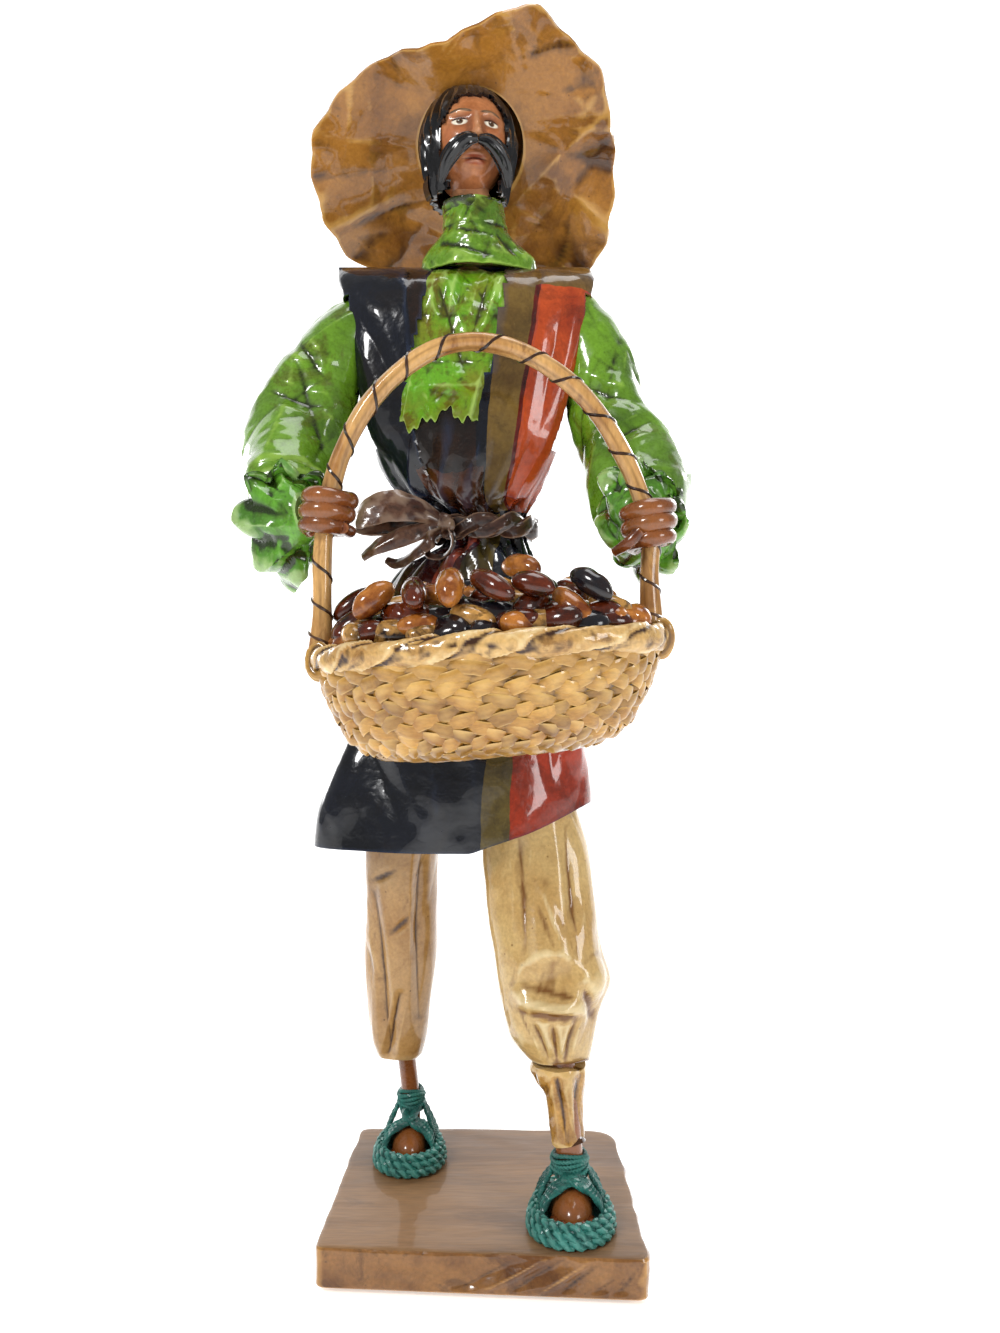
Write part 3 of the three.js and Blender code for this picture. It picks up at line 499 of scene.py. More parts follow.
@dataclass(frozen=True)
class Finish:
    """A glossy handmade surface: a main colour, a darker one in soft patches, painted shade where the surface
    sinks and painted highlights where it rises.
    """

    name: str
    main: str
    dark: str
    # colour of the painted shade in sunken places, also used for the specks
    hollow_shade_and_speck: str
    # colour of the painted highlights on raised places
    crest_highlight: str
    patch: float = 26.0  # mm between soft patches of the darker colour
    grain: float = 1.6  # mm of the fine grain
    rough: float = 0.3
    coat: float = 1.0
    wrinkle: float = 0.3  # strength of the fine wrinkles under the varnish
    # how strongly the painted shade and the painted highlights show
    hollow_shading: float = 0.8
    crest_highlighting: float = 0.5
    stain: str = "2a1708"
    stains: float = 0.0  # how strongly pools of varnish darken the colour
    specks: float = 0.0  # how strongly small dark specks show
    stretch: tuple[float, float, float] = (1.0, 1.0, 1.0)
    by_tone: bool = False  # whether the attribute "tone" shifts each strand's colour

    def painted(self, tree: bpy.types.NodeTree, at: bpy.types.NodeSocket) -> bpy.types.NodeSocket:
        """The colour before hollows and crests.

        Args:
            tree: the material's node tree.
            at: Object coordinates.

        Returns:
            The colour's socket.
        """
        return self.patched(tree, at, colour(self.main), colour(self.dark))

    def patched(self, tree: bpy.types.NodeTree, at: bpy.types.NodeSocket, main: object,
                dark: object) -> bpy.types.NodeSocket:
        """Soft patches of a second colour.

        Args:
            tree: the material's node tree.
            at: Object coordinates.
            main: the first colour, or its socket.
            dark: the second colour, or its socket.

        Returns:
            The colour's socket.
        """
        noise = node(tree, "TexNoise", None,
                     {"Vector": at, "Scale": 1000 / self.patch, "Detail": 5.0, "Roughness": 0.62})
        amount = node(tree, "MapRange", None, {0: noise.outputs["Fac"], 1: 0.42, 2: 0.64})
        return node(tree, "Mix", {"data_type": "RGBA"}, {0: amount.outputs[0], 6: main, 7: dark}).outputs[2]

    def aged(self, tree: bpy.types.NodeTree, at: bpy.types.NodeSocket,
             base: bpy.types.NodeSocket) -> bpy.types.NodeSocket:
        """Varnish stains with clear edges, and specks.

        Args:
            tree: the material's node tree.
            at: Object coordinates.
            base: the clean colour.

        Returns:
            The colour's socket.
        """
        if self.stains > 0:
            pools = node(tree, "TexNoise", None, {
                "Vector": at, "Scale": 1000 / (self.patch * 0.8), "Detail": 6.0, "Roughness": 0.7,
                "Distortion": 1.2})
            amount = node(tree, "MapRange", None,
                          {0: pools.outputs["Fac"], 1: 0.53, 2: 0.62, 3: 0.0, 4: self.stains})
            base = node(tree, "Mix", {"data_type": "RGBA"},
                        {0: amount.outputs[0], 6: base, 7: colour(self.stain)}).outputs[2]
        if self.specks > 0:
            dots = node(tree, "TexVoronoi", None, {"Vector": at, "Scale": 1000 / 7.5})
            amount = node(tree, "MapRange", None,
                          {0: dots.outputs["Distance"], 1: 0.055, 2: 0.085, 3: self.specks, 4: 0.0})
            base = node(tree, "Mix", {"data_type": "RGBA"},
                        {0: amount.outputs[0], 6: base, 7: colour(self.hollow_shade_and_speck)}).outputs[2]
        return base

    def material(self) -> bpy.types.Material:
        """Builds the material."""
        made = bpy.data.materials.new(self.name)
        made.use_nodes = True
        tree = made.node_tree
        tree.nodes.clear()
        scale = tuple(1 / s for s in self.stretch)
        where = node(tree, "TexCoord").outputs["Object"]
        at = node(tree, "Mapping", None, {"Vector": where, "Scale": scale}).outputs[0]
        base = self.aged(tree, at, self.painted(tree, at))
        grain = node(tree, "TexNoise", None, {"Vector": at, "Scale": 1000 / self.grain, "Detail": 3.0})
        speck = node(tree, "MapRange", None, {0: grain.outputs["Fac"], 1: 0.3, 2: 0.7, 3: 0.86, 4: 1.1})
        shade = node(tree, "HueSaturation", None, {"Color": base, "Value": speck.outputs[0]}).outputs[0]
        if self.by_tone:
            tone = node(tree, "Attribute", {"attribute_name": "tone"}).outputs["Fac"]
            lift = node(tree, "MapRange", None, {0: tone, 3: 0.7, 4: 1.25})
            shade = node(tree, "HueSaturation", None, {"Color": shade, "Value": lift.outputs[0]}).outputs[0]
        fold = node(tree, "Attribute", {"attribute_name": "fold"}).outputs["Fac"]
        # Painted shade darkens the sunken places and painted highlights lighten the raised ones, both read
        # from the attribute "fold".
        low = node(tree, "MapRange", None, {0: fold, 1: -0.12, 2: -0.95, 3: 0.0, 4: self.hollow_shading}).outputs[0]
        high = node(tree, "MapRange", None, {0: fold, 1: 0.3, 2: 1.0, 3: 0.0, 4: self.crest_highlighting}).outputs[0]
        hollow_shaded = node(tree, "Mix", {"data_type": "RGBA"}, {0: low, 6: shade, 7: colour(self.hollow_shade_and_speck)}).outputs[2]
        crest_highlighted = node(tree, "Mix", {"data_type": "RGBA"}, {0: high, 6: hollow_shaded, 7: colour(self.crest_highlight)}).outputs[2]
        waves = node(tree, "TexNoise", None,
                     {"Vector": at, "Scale": 1000 / 6.5, "Detail": 2.0, "Distortion": 0.6})
        relief = node(tree, "Math", {"operation": "MULTIPLY_ADD"},
                      {0: grain.outputs["Fac"], 1: 0.12, 2: waves.outputs["Fac"]})
        rise = node(tree, "Bump", None,
                    {"Height": relief.outputs[0], "Strength": self.wrinkle, "Distance": 0.0022})
        dull = node(tree, "MapRange", None,
                    {0: grain.outputs["Fac"], 3: self.rough - 0.06, 4: self.rough + 0.1})
        shader = node(tree, "BsdfPrincipled", None, {
            "Base Color": crest_highlighted, "Roughness": dull.outputs[0], "Normal": rise.outputs[0],
            "Coat Weight": self.coat, "Coat Roughness": 0.06, "Coat IOR": 1.42, "Specular IOR Level": 0.2,
        })
        node(tree, "OutputMaterial", None, {"Surface": shader.outputs[0]})
        return made


@dataclass(frozen=True)
class Panel:
    """A strip of another colour on the tunic, between two shares of its front and two heights."""

    main: str
    dark: str
    left: float
    right: float
    low: float = 0.0
    high: float = 600.0


@dataclass(frozen=True)
class PanelPaper(Finish):
    """Painted paper pieced from upright strips. The UV map holds the share across and the height."""

    panels: tuple[Panel, ...] = ()

    def painted(self, tree: bpy.types.NodeTree, at: bpy.types.NodeSocket) -> bpy.types.NodeSocket:
        """The colour of the strips, with slightly uneven edges.

        Args:
            tree: the material's node tree.
            at: Object coordinates.

        Returns:
            The colour's socket.
        """
        uv = node(tree, "SeparateXYZ", None, {0: node(tree, "UVMap").outputs[0]})
        waver = node(tree, "TexNoise", None, {"Vector": at, "Scale": 1000 / 14, "Detail": 2.0}).outputs["Fac"]
        share = node(tree, "Math", {"operation": "MULTIPLY_ADD"},
                     {0: waver, 1: 0.02, 2: uv.outputs[0]}).outputs[0]
        height = node(tree, "Math", {"operation": "MULTIPLY_ADD"},
                      {0: waver, 1: 0.012, 2: uv.outputs[1]}).outputs[0]
        result = self.patched(tree, at, colour(self.main), colour(self.dark))
        for panel in self.panels:
            inside = None
            for socket, low, high in ((share, panel.left + 0.01, panel.right + 0.01),
                                      (height, panel.low / 1000 + 0.006, panel.high / 1000 + 0.006)):
                middle, half = (low + high) / 2, (high - low) / 2
                test = node(tree, "Math", {"operation": "COMPARE"},
                            {0: socket, 1: middle, 2: half}).outputs[0]
                inside = test if inside is None else node(
                    tree, "Math", {"operation": "MULTIPLY"}, {0: inside, 1: test}).outputs[0]
            strip = self.patched(tree, at, colour(panel.main), colour(panel.dark))
            result = node(tree, "Mix", {"data_type": "RGBA"}, {0: inside, 6: result, 7: strip}).outputs[2]
        return result


@dataclass(frozen=True)
class Dab:
    """One touch of the painter's brush on the face: an oval, in millimetres of the face's own frame."""

    tint: str
    spot: tuple[float, float]
    half: tuple[float, float]
    turn: float = 0.0
    soft: float = 0.12
    strength: float = 1.0


@dataclass(frozen=True)
class FacePaint(Finish):
    """Painted and varnished face: flesh colour with eyes, brows and lips added by brush."""

    dabs: tuple[Dab, ...] = ()

    def painted(self, tree: bpy.types.NodeTree, at: bpy.types.NodeSocket) -> bpy.types.NodeSocket:
        """The flesh colour and the brush's touches over it.

        Args:
            tree: the material's node tree.
            at: Object coordinates.

        Returns:
            The colour's socket.
        """
        uv = node(tree, "UVMap").outputs[0]
        result = self.patched(tree, at, colour(self.main), colour(self.dark))
        for dab in self.dabs:
            spot = node(tree, "Mapping", {"vector_type": "TEXTURE"}, {
                "Vector": uv, "Location": (dab.spot[0], dab.spot[1], 0), "Rotation": (0, 0, dab.turn),
                "Scale": (dab.half[0], dab.half[1], 1),
            })
            far = node(tree, "VectorMath", {"operation": "LENGTH"}, {0: spot.outputs[0]}).outputs["Value"]
            inside = node(tree, "MapRange", None,
                          {0: far, 1: 1 - dab.soft, 2: 1 + dab.soft, 3: dab.strength, 4: 0.0})
            result = node(tree, "Mix", {"data_type": "RGBA"},
                          {0: inside.outputs[0], 6: result, 7: colour(dab.tint)}).outputs[2]
        return result


class Paper(Enum):
    """The figure's finishes. The third and fourth colours of each are those of its painted shade and its
    painted highlights.
    """

    HAT = Finish("amber_kraft_paper_varnished", "9c6826", "744716", "301604", "cfa056", patch=42, rough=0.3,
                 wrinkle=0.3, hollow_shading=0.85, crest_highlighting=0.6, stain="4e2c0c", stains=0.35, specks=0.5)
    GREEN = Finish("lime_painted_paper_varnished", "648f20", "446514", "1b2205", "98bb50", patch=40,
                   rough=0.26, wrinkle=0.1, hollow_shading=0.95, crest_highlighting=0.6, stain="4a4a0e", stains=0.6, specks=0.5)
    CREAM = Finish("cream_paper_varnished", "c3a46b", "ad8950", "6a4012", "e2d2a6", patch=48, rough=0.32,
                   wrinkle=0.2, hollow_shading=0.95, crest_highlighting=0.5, stain="9a6f30", stains=0.3, specks=0.6)
    OCHRE = Finish("ochre_paper_varnished", "a98350", "8c632e", "3c2009", "cfae7a", patch=44, rough=0.34,
                   wrinkle=0.2, hollow_shading=0.95, crest_highlighting=0.4, stain="6f4719", stains=0.35, specks=0.6)
    BLOCK_TOP = Finish("brown_paper_dull", "8a6846", "6f5238", "4a2e1a", "a88660", patch=34, rough=0.5,
                       coat=0.3, wrinkle=0.18, stretch=(6.0, 1.0, 1.0), stain="5c4534", stains=0.4)
    BLOCK_SIDE = Finish("brown_paper_varnished", "8d6132", "68401a", "2a1406", "cf9c58", patch=26, rough=0.3,
                        wrinkle=0.3, hollow_shading=1.0, crest_highlighting=0.75, stain="452610", stains=0.5, specks=0.4)
    SASH = Finish("brown_twisted_paper_varnished", "4a2f24", "291813", "120a07", "9a7a62", patch=12,
                  rough=0.3, hollow_shading=0.9, crest_highlighting=0.8)
    SKIN = Finish("brown_painted_paste_varnished", "733a15", "52270f", "1f0c04", "a96c3a", patch=10,
                  rough=0.26, wrinkle=0.12, crest_highlighting=0.4)
    BLACK = Finish("black_gloss_paint", "0b0b0e", "050507", "020203", "16171b", patch=10, rough=0.2,
                   wrinkle=0.1, crest_highlighting=0.3)
    RAFFIA = Finish("teal_dyed_raffia", "23695f", "174a45", "082322", "5d9c90", patch=8, grain=0.8,
                    rough=0.45, coat=0.3, wrinkle=0.3, hollow_shading=1.0, crest_highlighting=0.6, by_tone=True)
    LEAF = Finish("braided_palm_leaf_varnished", "b58840", "8c5f24", "2a1505", "dcb670", patch=16, grain=0.9,
                  rough=0.3, wrinkle=0.25, hollow_shading=1.0, crest_highlighting=0.55, stretch=(2.5, 2.5, 1.0), stain="5c3512",
                  stains=0.35, specks=0.4, by_tone=True)
    # a dark lining: painted shade that shows through the gaps of the plaits
    SHELL = Finish("basket_lining_painted_gap_shade", "2e1809", "1c0f06", "120904", "4b2c12", patch=12, rough=0.6,
                   coat=0.2)
    BINDING = Finish("dark_leaf_binding", "331a0c", "1d0f06", "120804", "6a4526", patch=8, rough=0.35)
    BOARD = Finish("dark_backing_board", "2a2320", "1b1614", "0c0a09", "4a403a", patch=20, rough=0.7,
                   coat=0.0)


# ---------- shared forms ----------

HEM, SHOULDER, WAIST = 186.0, 466.0, 338.0
TUNIC_SECTIONS = (
    (186, -82, 48, -36, 36, 2.4),
    (207, -79, 48, -35, 35, 2.4),
    (240, -68.5, 45, -32, 31, 2.4),
    (282, -57, 35, -27.5, 26, 2.4),
    (308, -50, 25.5, -22, 20, 2.4),
    (322, -41, 21, -18, 17, 2.3),
    (331, -21.8, 17.2, -13.4, 12.4, 2.1),
    (345, -21.8, 17.2, -13.4, 12.4, 2.1),
    (352, -39, 20.5, -18.5, 17, 2.5),
    (362, -49.5, 26.5, -21, 18.5, 2.9),
    (378, -58, 33, -23, 19.5, 3.5),
    (396, -62.5, 37.5, -24, 20, 4),
    (430, -67, 45.5, -24, 20, 4.4),
    (452, -71, 50, -19, 17, 4),
    (461, -72.5, 50.5, -11, 10, 3),
    (466, -73, 49, 0, 0, 2.4),
)
NECK_LEFT = ((388, -42), (399, -40), (470, -24))
NECK_RIGHT = ((388, -6), (396, -4), (427, 3.5), (470, 11))


def tunic_point(turn: Array, height: Array) -> Array:
    """Points of the tunic's wall.

    Args:
        turn: the angle round the figure, 0 at its left side.
        height: the height of the section.

    Returns:
        The points.
    """
    left, right, front, back, square = between(TUNIC_SECTIONS, height).T
    c, s = np.cos(turn), np.sin(turn)
    near_waist = np.exp(-(((height - WAIST) / 26) ** 2))
    near_hem = np.clip((250 - height) / 60, 0, 1)
    gathers = 1.2 * near_waist * np.cos(11 * turn)
    wave = near_hem * 2.4 * np.cos(5 * turn + 1.2)
    deep = np.where(s < 0, -front, back)
    x = (left + right) / 2 + ((right - left) / 2 + 0.6 * wave) * power(c, 2 / square) + gathers * c
    y = (deep + (gathers + wave) * (deep > 1)) * power(s, 2 / square)
    rise = 20 * near_hem * np.clip((x + 8) / 56, 0, 2) * np.clip((240 - height) / 54, 0, 1)
    return stack(x, y, height + rise)


def tunic_face(x: Array, height: Array) -> Array:
    """How far forward the tunic's front is at a place above the belt, as Y."""
    left, right, front, _, square = between(TUNIC_SECTIONS, height).T
    share = np.clip(np.abs((x - (left + right) / 2) / ((right - left) / 2)), 0, 0.98)
    return front * (1 - share**square) ** (1 / square)


# ---------- the block, feet and sandals ----------


@dataclass
class Block:
    """The paper-covered block and its dark backing board."""

    bottom: float = 2.5
    top: float = 20.5
    corners: tuple[tuple[float, float, float], ...] = ((-75, -64, 4), (69, -75, 5), (67, 64, 16),
                                                       (-70, 67, 5))
    folds: tuple[Fold, ...] = (
        Fold((-14, 3), (12, 18), 4, 1.6), Fold((-4, 3), (24, 19), 3, -1.5), Fold((8, 3), (33, 19), 3.5, 1.8),
        Fold((20, 3), (42, 18), 2.6, -1.3), Fold((30, 3), (47, 17), 3, 1.5), Fold((44, 4), (56, 12), 3, 1.0),
        Fold((-52, 12), (-20, 8), 3, 0.6), Fold((54, 3), (66, 18), 3.5, 1.2),
    )

    def outline(self, u: Array) -> Array:
        """The plan's outline, anticlockwise from the front left corner.

        Args:
            u: shares of its length.

        Returns:
            X and Y for each.
        """
        points = []
        for i, (x, y, radius) in enumerate(self.corners):
            corner = Vector((x, y))
            ends = [Vector(self.corners[(i + k) % 4][:2]) for k in (-1, 1)]
            a, b = (corner + (end - corner).normalized() * radius for end in ends)
            for t in np.linspace(0, 1, 7):
                points.append(tuple(a * (1 - t) ** 2 + corner * 2 * t * (1 - t) + b * t * t))
        line = np.asarray(points + points[:1])
        run = np.concatenate([[0], np.cumsum(np.linalg.norm(np.diff(line, axis=0), axis=1))])
        return stack(*(np.interp(u * run[-1], run, line[:, k]) for k in (0, 1)))

    def build(self, frame: dict) -> None:
        """Builds the block's paper and finishes the board.
        """
        profile = ((0, 0.0, self.bottom), (0.02, 0.97, self.bottom), (0.04, 0.99, self.bottom),
                   (0.06, 1.0, self.bottom + 1),
                   (0.5, 1.0, self.top - 1.6), (0.53, 0.992, self.top - 0.4), (0.56, 0.98, self.top),
                   (1, 0.0, self.top))
        rows = np.asarray(profile)

        def place(u: Array, v: Array) -> Array:
            """Points of the block's surface."""
            share = np.interp(v, rows[:, 0], rows[:, 1])
            flat = self.outline(u) * share[:, None]
            return stack(flat[:, 0], flat[:, 1], np.interp(v, rows[:, 0], rows[:, 2]))

        def side_only(p: Array, n: Array) -> Array:
            """Wrinkles that the paper makes on the sides, fading on the top and the underside."""
            wall = np.clip(1.2 - np.abs(n[:, 2]) * 1.2, 0, 1) * np.clip((p[:, 2] - 3) / 3, 0, 1)
            return wall * (Creases(24, 1.1, 5, 0.35)(p, n) + sum(fold(p, n) for fold in self.folds))

        bm = relieve(skin(300, 70, place), side_only,
                     lambda p, n: np.clip(n[:, 2], 0, 1) * Creases(44, 0.5, 8)(p, n))
        bm.normal_update()
        for face in bm.faces:
            face.material_index = 0 if face.normal.z > 0.75 else 1
        finish_piece(bm, "block_paper", [Paper.BLOCK_TOP.value.material(), Paper.BLOCK_SIDE.value.material()],
                     ["base_block"], 30)
        board = frame["nodes"]["base_backing"]
        board.data.materials.clear()
        board.data.materials.append(Paper.BOARD.value.material())


@dataclass
class Foot:
    """A bare foot with its shin and a raffia sandal."""

    side: str
    x: float
    y: float
    wide: float
    long: float
    turn: float
    shin: float
    shin_top: tuple[float, float, float]
    ankle: float
    floor: float = 20.8
    sole: float = 3.0

    def outline(self, t: Array, grow: float = 0.0) -> Array:
        """The sole's outline.

        Args:
            t: the angle, 0 at the foot's left.
            grow: how far outside it.

        Returns:
            X and Y for each.
        """
        c, s = np.cos(t), np.sin(t)
        across, along = (self.wide * (1 - 0.22 * s) + grow) * c, (self.long + grow) * s
        x = self.x + across * math.cos(self.turn) - along * math.sin(self.turn)
        return stack(x, self.y + across * math.sin(self.turn) + along * math.cos(self.turn))

    def flesh(self) -> Mesh:
        """The foot, its toes and the shin."""
        base = self.floor + self.sole + 0.3
        parts = []
        for x, y, z, half in [(0, 1, 4, (self.wide * 0.7, self.long * 0.82, 11))] + [
            (i * self.wide * 0.26, -self.long * (0.68 - 0.03 * i * i), 2.6, (2.3, 5.0, 2.9))
            for i in (-2, -1, 0, 1, 2)
        ]:
            ball = bmesh.new()
            ball.loops.layers.uv.new("UVMap")
            matrix = Matrix.Translation((self.x + x, self.y + y, base + z)) @ Matrix.Diagonal((*half, 1))
            bmesh.ops.create_uvsphere(ball, u_segments=28, v_segments=18, radius=1, matrix=matrix)
            under = [v for v in ball.verts if v.co.z < base]
            for v in under:
                v.co.z = base
            parts.append(ball)
        rod = curve([(self.x, self.y + 8, base + 6), (self.x, self.y + 8.5, base + 22), self.shin_top], 30)
        parts.append(sweep(rod, np.full((30, 2), self.shin), 20, (1, 0, 0)))
        return gather(parts)

    def strand(self, points: Table, radius: float, count: int = 26, twist: float = 3.0) -> Mesh:
        """A twisted raffia strand through points, thinner at its ends."""
        path = curve(points, count)
        taper = 1 - 0.25 * np.abs(np.linspace(-1, 1, count)) ** 3
        return sweep(path, stack(taper * radius, taper * radius * 0.75), 7, (0.3, 0.2, 1), twist=twist)

    def sandal(self) -> Mesh:
        """The plaited sole edge, crossed straps and ankle wraps."""
        t = np.linspace(0, TAU, 97)
        parts = []
        sole = skin(48, 8, lambda u, v: stack(
            *(self.outline(u * TAU) - [self.x, self.y]).T * np.interp(v, [0, 0.25, 0.75, 1], [0, 1, 1, 0])
            + np.array([[self.x], [self.y]]), self.floor + self.sole * np.interp(v, [0.25, 0.75], [0, 1])))
        parts.append(sole)
        for layer, (grow, rise) in enumerate(((1.8, 2.2), (1.5, 5.4), (0.4, 8.2))):
            for j in range(3):
                phase = 9 * t + TAU * j / 3 + layer
                out = (grow + 1.25 * np.sin(phase))[:, None]
                flat = self.outline(t, 0) + (self.outline(t, 1) - self.outline(t, 0)) * out
                path = stack(flat[:, 0], flat[:, 1], self.floor + rise + 1.0 * np.sin(2 * phase) + 0.3)
                parts.append(sweep(path, np.full((97, 2), 1.8 - 0.15 * layer), 7, loop=True, twist=6))
        random = np.random.default_rng(int(self.wide * 10))
        top = self.floor + self.ankle
        for k in range(6):
            height, radius = top - 4 + 1.7 * k, self.shin + 1.5 + 0.5 * math.sin(k * 2.1)
            ring = stack(self.x + radius * np.cos(t), self.y + 8.6 + radius * np.sin(t),
                         height + 0.8 * np.sin(t * 2 + k))
            parts.append(sweep(ring[::3], np.full((33, 2), 1.15), 6, loop=True, twist=5))
        for side in (-1, 1):
            for k in range(7):
                off = (k - 3) * 1.55
                wander = random.uniform(-0.6, 0.6, 3)
                parts.append(self.strand([
                    (self.x + side * self.wide * 1.02, self.y - self.long * 0.42 + off, self.floor + 5.5),
                    (self.x + side * self.wide * 0.62, self.y - 6 + off + wander[0],
                     self.floor + 15.5 + wander[2]),
                    (self.x + side * (off * 0.2), self.y - 3 + off * 0.9 + wander[1], self.floor + 20.6),
                    (self.x - side * (self.shin * 0.8), self.y + 3.4 + off * 0.5, top - 3 + off * 0.3),
                    (self.x - side * (self.shin + 1.6), self.y + 8, top + 1 + off * 0.3),
                ], 1.5))
            for k in range(6):
                parts.append(self.strand([
                    (self.x + side * self.wide * 1.0, self.y - 3 + 3.4 * k, self.floor + 6),
                    (self.x + side * (self.wide * 0.8), self.y + 1 + 2.4 * k + random.uniform(-1, 1),
                     self.floor + 14),
                    (self.x + side * (self.shin + 1.6), self.y + 6 + k, top - 2),
                ], 1.35, 18))
        return gather(parts)

    def build(self) -> None:
        """Builds the foot and its sandal."""
        finish_piece(self.flesh(), f"{self.side}_bare_foot", [Paper.SKIN.value.material()],
                     [f"{self.side}_foot"])
        finish_piece(self.sandal(), f"{self.side}_raffia_sandal", [Paper.RAFFIA.value.material()],
                     [f"{self.side}_sandal"])


# ---------- the clothes ----------


@dataclass
class TrouserLeg:
    """A wide rolled trouser leg of stiff crumpled paper."""

    side: str
    sections: Table
    reliefs: tuple[Relief, ...]
    finish: Finish
    name: str = "trouser_leg"
    node_name: str = "trouser_leg"
    tuck: float = 7.0
    columns: int = 150
    rows: int = 170

    def build(self) -> None:
        """Builds the leg, open below where it is tucked in."""
        low, high = self.sections[0][0], self.sections[-1][0]

        def place(u: Array, v: Array) -> Array:
            """Points of the leg: first up inside its mouth, then its outside from the hem.

            Args:
                u: the share round the leg.
                v: the share of the way from inside the mouth to the top.

            Returns:
                The points.
            """
            inside = np.clip(1 - v / 0.06, 0, 1)
            height = np.where(inside > 0, low, low + (high - low) * (v - 0.06) / 0.94)
            x, y, wide, deep = between(self.sections, height).T
            size = 1 - 0.25 * np.clip(inside * 4, 0, 1) - 0.75 * np.clip(inside * 1.4 - 0.4, 0, 1)
            size = np.where(v >= 1, 0, size)
            c, s = np.cos(u * TAU), np.sin(u * TAU)
            return stack(x + wide * size * c, y + deep * size * s,
                         height + self.tuck * np.clip(inside * 1.5, 0, 1))

        bm = relieve(skin(self.columns, self.rows, place), *self.reliefs)
        finish_piece(bm, f"{self.side}_{self.name}_paper", [self.finish.material()],
                     [f"{self.side}_{self.node_name}"], 30)


@dataclass
class Tunic:
    """The belted tunic: stiff painted paper, open at the neck and sides, gathered under the sash."""

    columns: int = 240
    rows: int = 190
    wall: float = 1.3
    neck_foot: float = 404.0
    arm_hole: tuple[float, float] = (374.0, 449.0)

    def finish(self) -> Finish:
        """The painted strips of the tunic."""
        return PanelPaper(
            "navy_and_striped_paper_varnished", "0b0f1a", "05070e", "020306", "2c3850", patch=34, rough=0.22,
            wrinkle=0.22, hollow_shading=0.5, crest_highlighting=0.4, stain="1c140c", stains=0.3,
            panels=(
                Panel("140d09", "2c170b", 0.27, 0.575, 347, 470),
                Panel("4a240d", "160c07", 0.22, 0.62, 343, 364),
                Panel("6d5527", "4a3516", 0.63, 0.79, 346, 470),
                Panel("5e170e", "2e0b08", 0.77, 0.79, 346, 470),
                Panel("b0461c", "842c12", 0.79, 1.02, 346, 450),
                Panel("6d5228", "463014", 0.62, 1.02, 450, 470),
                Panel("5f5024", "3e3216", 0.60, 0.70, 180, 345),
                Panel("9c3218", "6a1f0e", 0.70, 1.02, 180, 300),
                Panel("4e1510", "250a09", 0.06, 0.47, 300, 333),
                Panel("a84e36", "702a1a", 0.30, 0.42, 296, 332),
                Panel("4f421c", "2d240c", 0.47, 0.66, 300, 333),
            ),
        )

    def build(self) -> None:
        """Builds the tunic."""
        bm = skin(self.columns, self.rows,
                  lambda u, v: tunic_point(u * TAU - math.pi, HEM + (SHOULDER - HEM) * v))
        heights = np.linspace(HEM, SHOULDER, 561)
        sides = between(TUNIC_SECTIONS, heights)[:, :2]

        def edges(z: Array) -> Array:
            """The tunic's right and left edges at some heights."""
            return np.stack([np.interp(z, heights, sides[:, k]) for k in (0, 1)])

        def across(co: Array, uv: Array) -> Array:
            """The share across the front, running on over the back, and the height in metres."""
            height = HEM + (SHOULDER - HEM) * uv[:, 1]
            left, right = edges(height)
            share = (co[:, 0] - left) / (right - left)
            return stack(np.where(uv[:, 0] <= 0.5, share, 2 - share), height * MM)[:, :2]

        remap(bm, across)
        middle = centres(bm)
        x, y, z = middle.T
        left, right = edges(z)
        between_lapels = (x > between(NECK_LEFT, z)[:, 0]) & (x < between(NECK_RIGHT, z)[:, 0])
        neck = (y < -1) & (z > self.neck_foot) & between_lapels
        at_edge = np.minimum(np.abs(x - left), np.abs(x - right)) < 4
        arms = (z > self.arm_hole[0]) & (z < self.arm_hole[1]) & (np.abs(y) < 15) & at_edge
        remove(bm, neck | arms)

        def pleats(p: Array, n: Array) -> Array:
            """Sharp pleats that run up and down from the sash."""
            turn = np.arctan2(p[:, 1] * 1.6, p[:, 0] + 8)
            near = np.exp(-(((p[:, 2] - WAIST) / 30) ** 2)) * np.clip(np.abs(p[:, 2] - WAIST) / 10, 0.2, 1)
            return near * 2.0 * zigzag(turn * 2.6 + 0.25 * np.sin(p[:, 2] / 13))

        def skirt(p: Array, n: Array) -> Array:
            """Long stiff folds of the skirt, deeper towards the hem."""
            turn = np.arctan2(p[:, 1] * 2, p[:, 0] + 15)
            down = np.clip((300 - p[:, 2]) / 110, 0, 1)
            return down * 1.8 * np.sin(TAU * (turn * 1.1 + 0.15 * np.sin(p[:, 2] / 21) + 0.35))

        def strips(p: Array, n: Array) -> Array:
            """The strips lie a paper's thickness over one another."""
            left, right = edges(p[:, 2])
            share = (p[:, 0] - left) / (right - left)
            high = np.interp(share, (0, 0.268, 0.272, 0.575, 0.579, 0.63, 0.634, 0.786, 0.79, 1),
                             (1.0, 1.0, 0, 0, 0.5, 0.5, 0.9, 0.9, 1.5, 1.5))
            return high * (p[:, 2] > WAIST + 14) * np.clip(-n[:, 1] * 2, 0, 1)

        def calm(relief: Relief) -> Relief:
            """A relief that dies away at the shoulder's ridge."""
            return lambda p, n: relief(p, n) * np.clip((SHOULDER - 1 - p[:, 2]) / 8, 0, 1)

        relieve(bm, pleats, skirt, calm(strips), calm(Creases(52, 3.0, 12, 0.3, (1, 1, 1.5))),
                Fold((-62, 440), (-34, 385), 7, 2.2), Fold((36, 445), (24, 385), 6, 1.8),
                Fold((-70, 262), (-40, 200), 9, 2.6),
                Fold((-20, 262), (-14, 200), 9, 2.2), Fold((26, 258), (30, 218), 6, 2.4),
                Fold((38, 262), (44, 225), 6, -2.0))
        thicken(bm, self.wall)
        finish_piece(bm, "tunic_paper", [self.finish().material()], ["tunic"], 32)


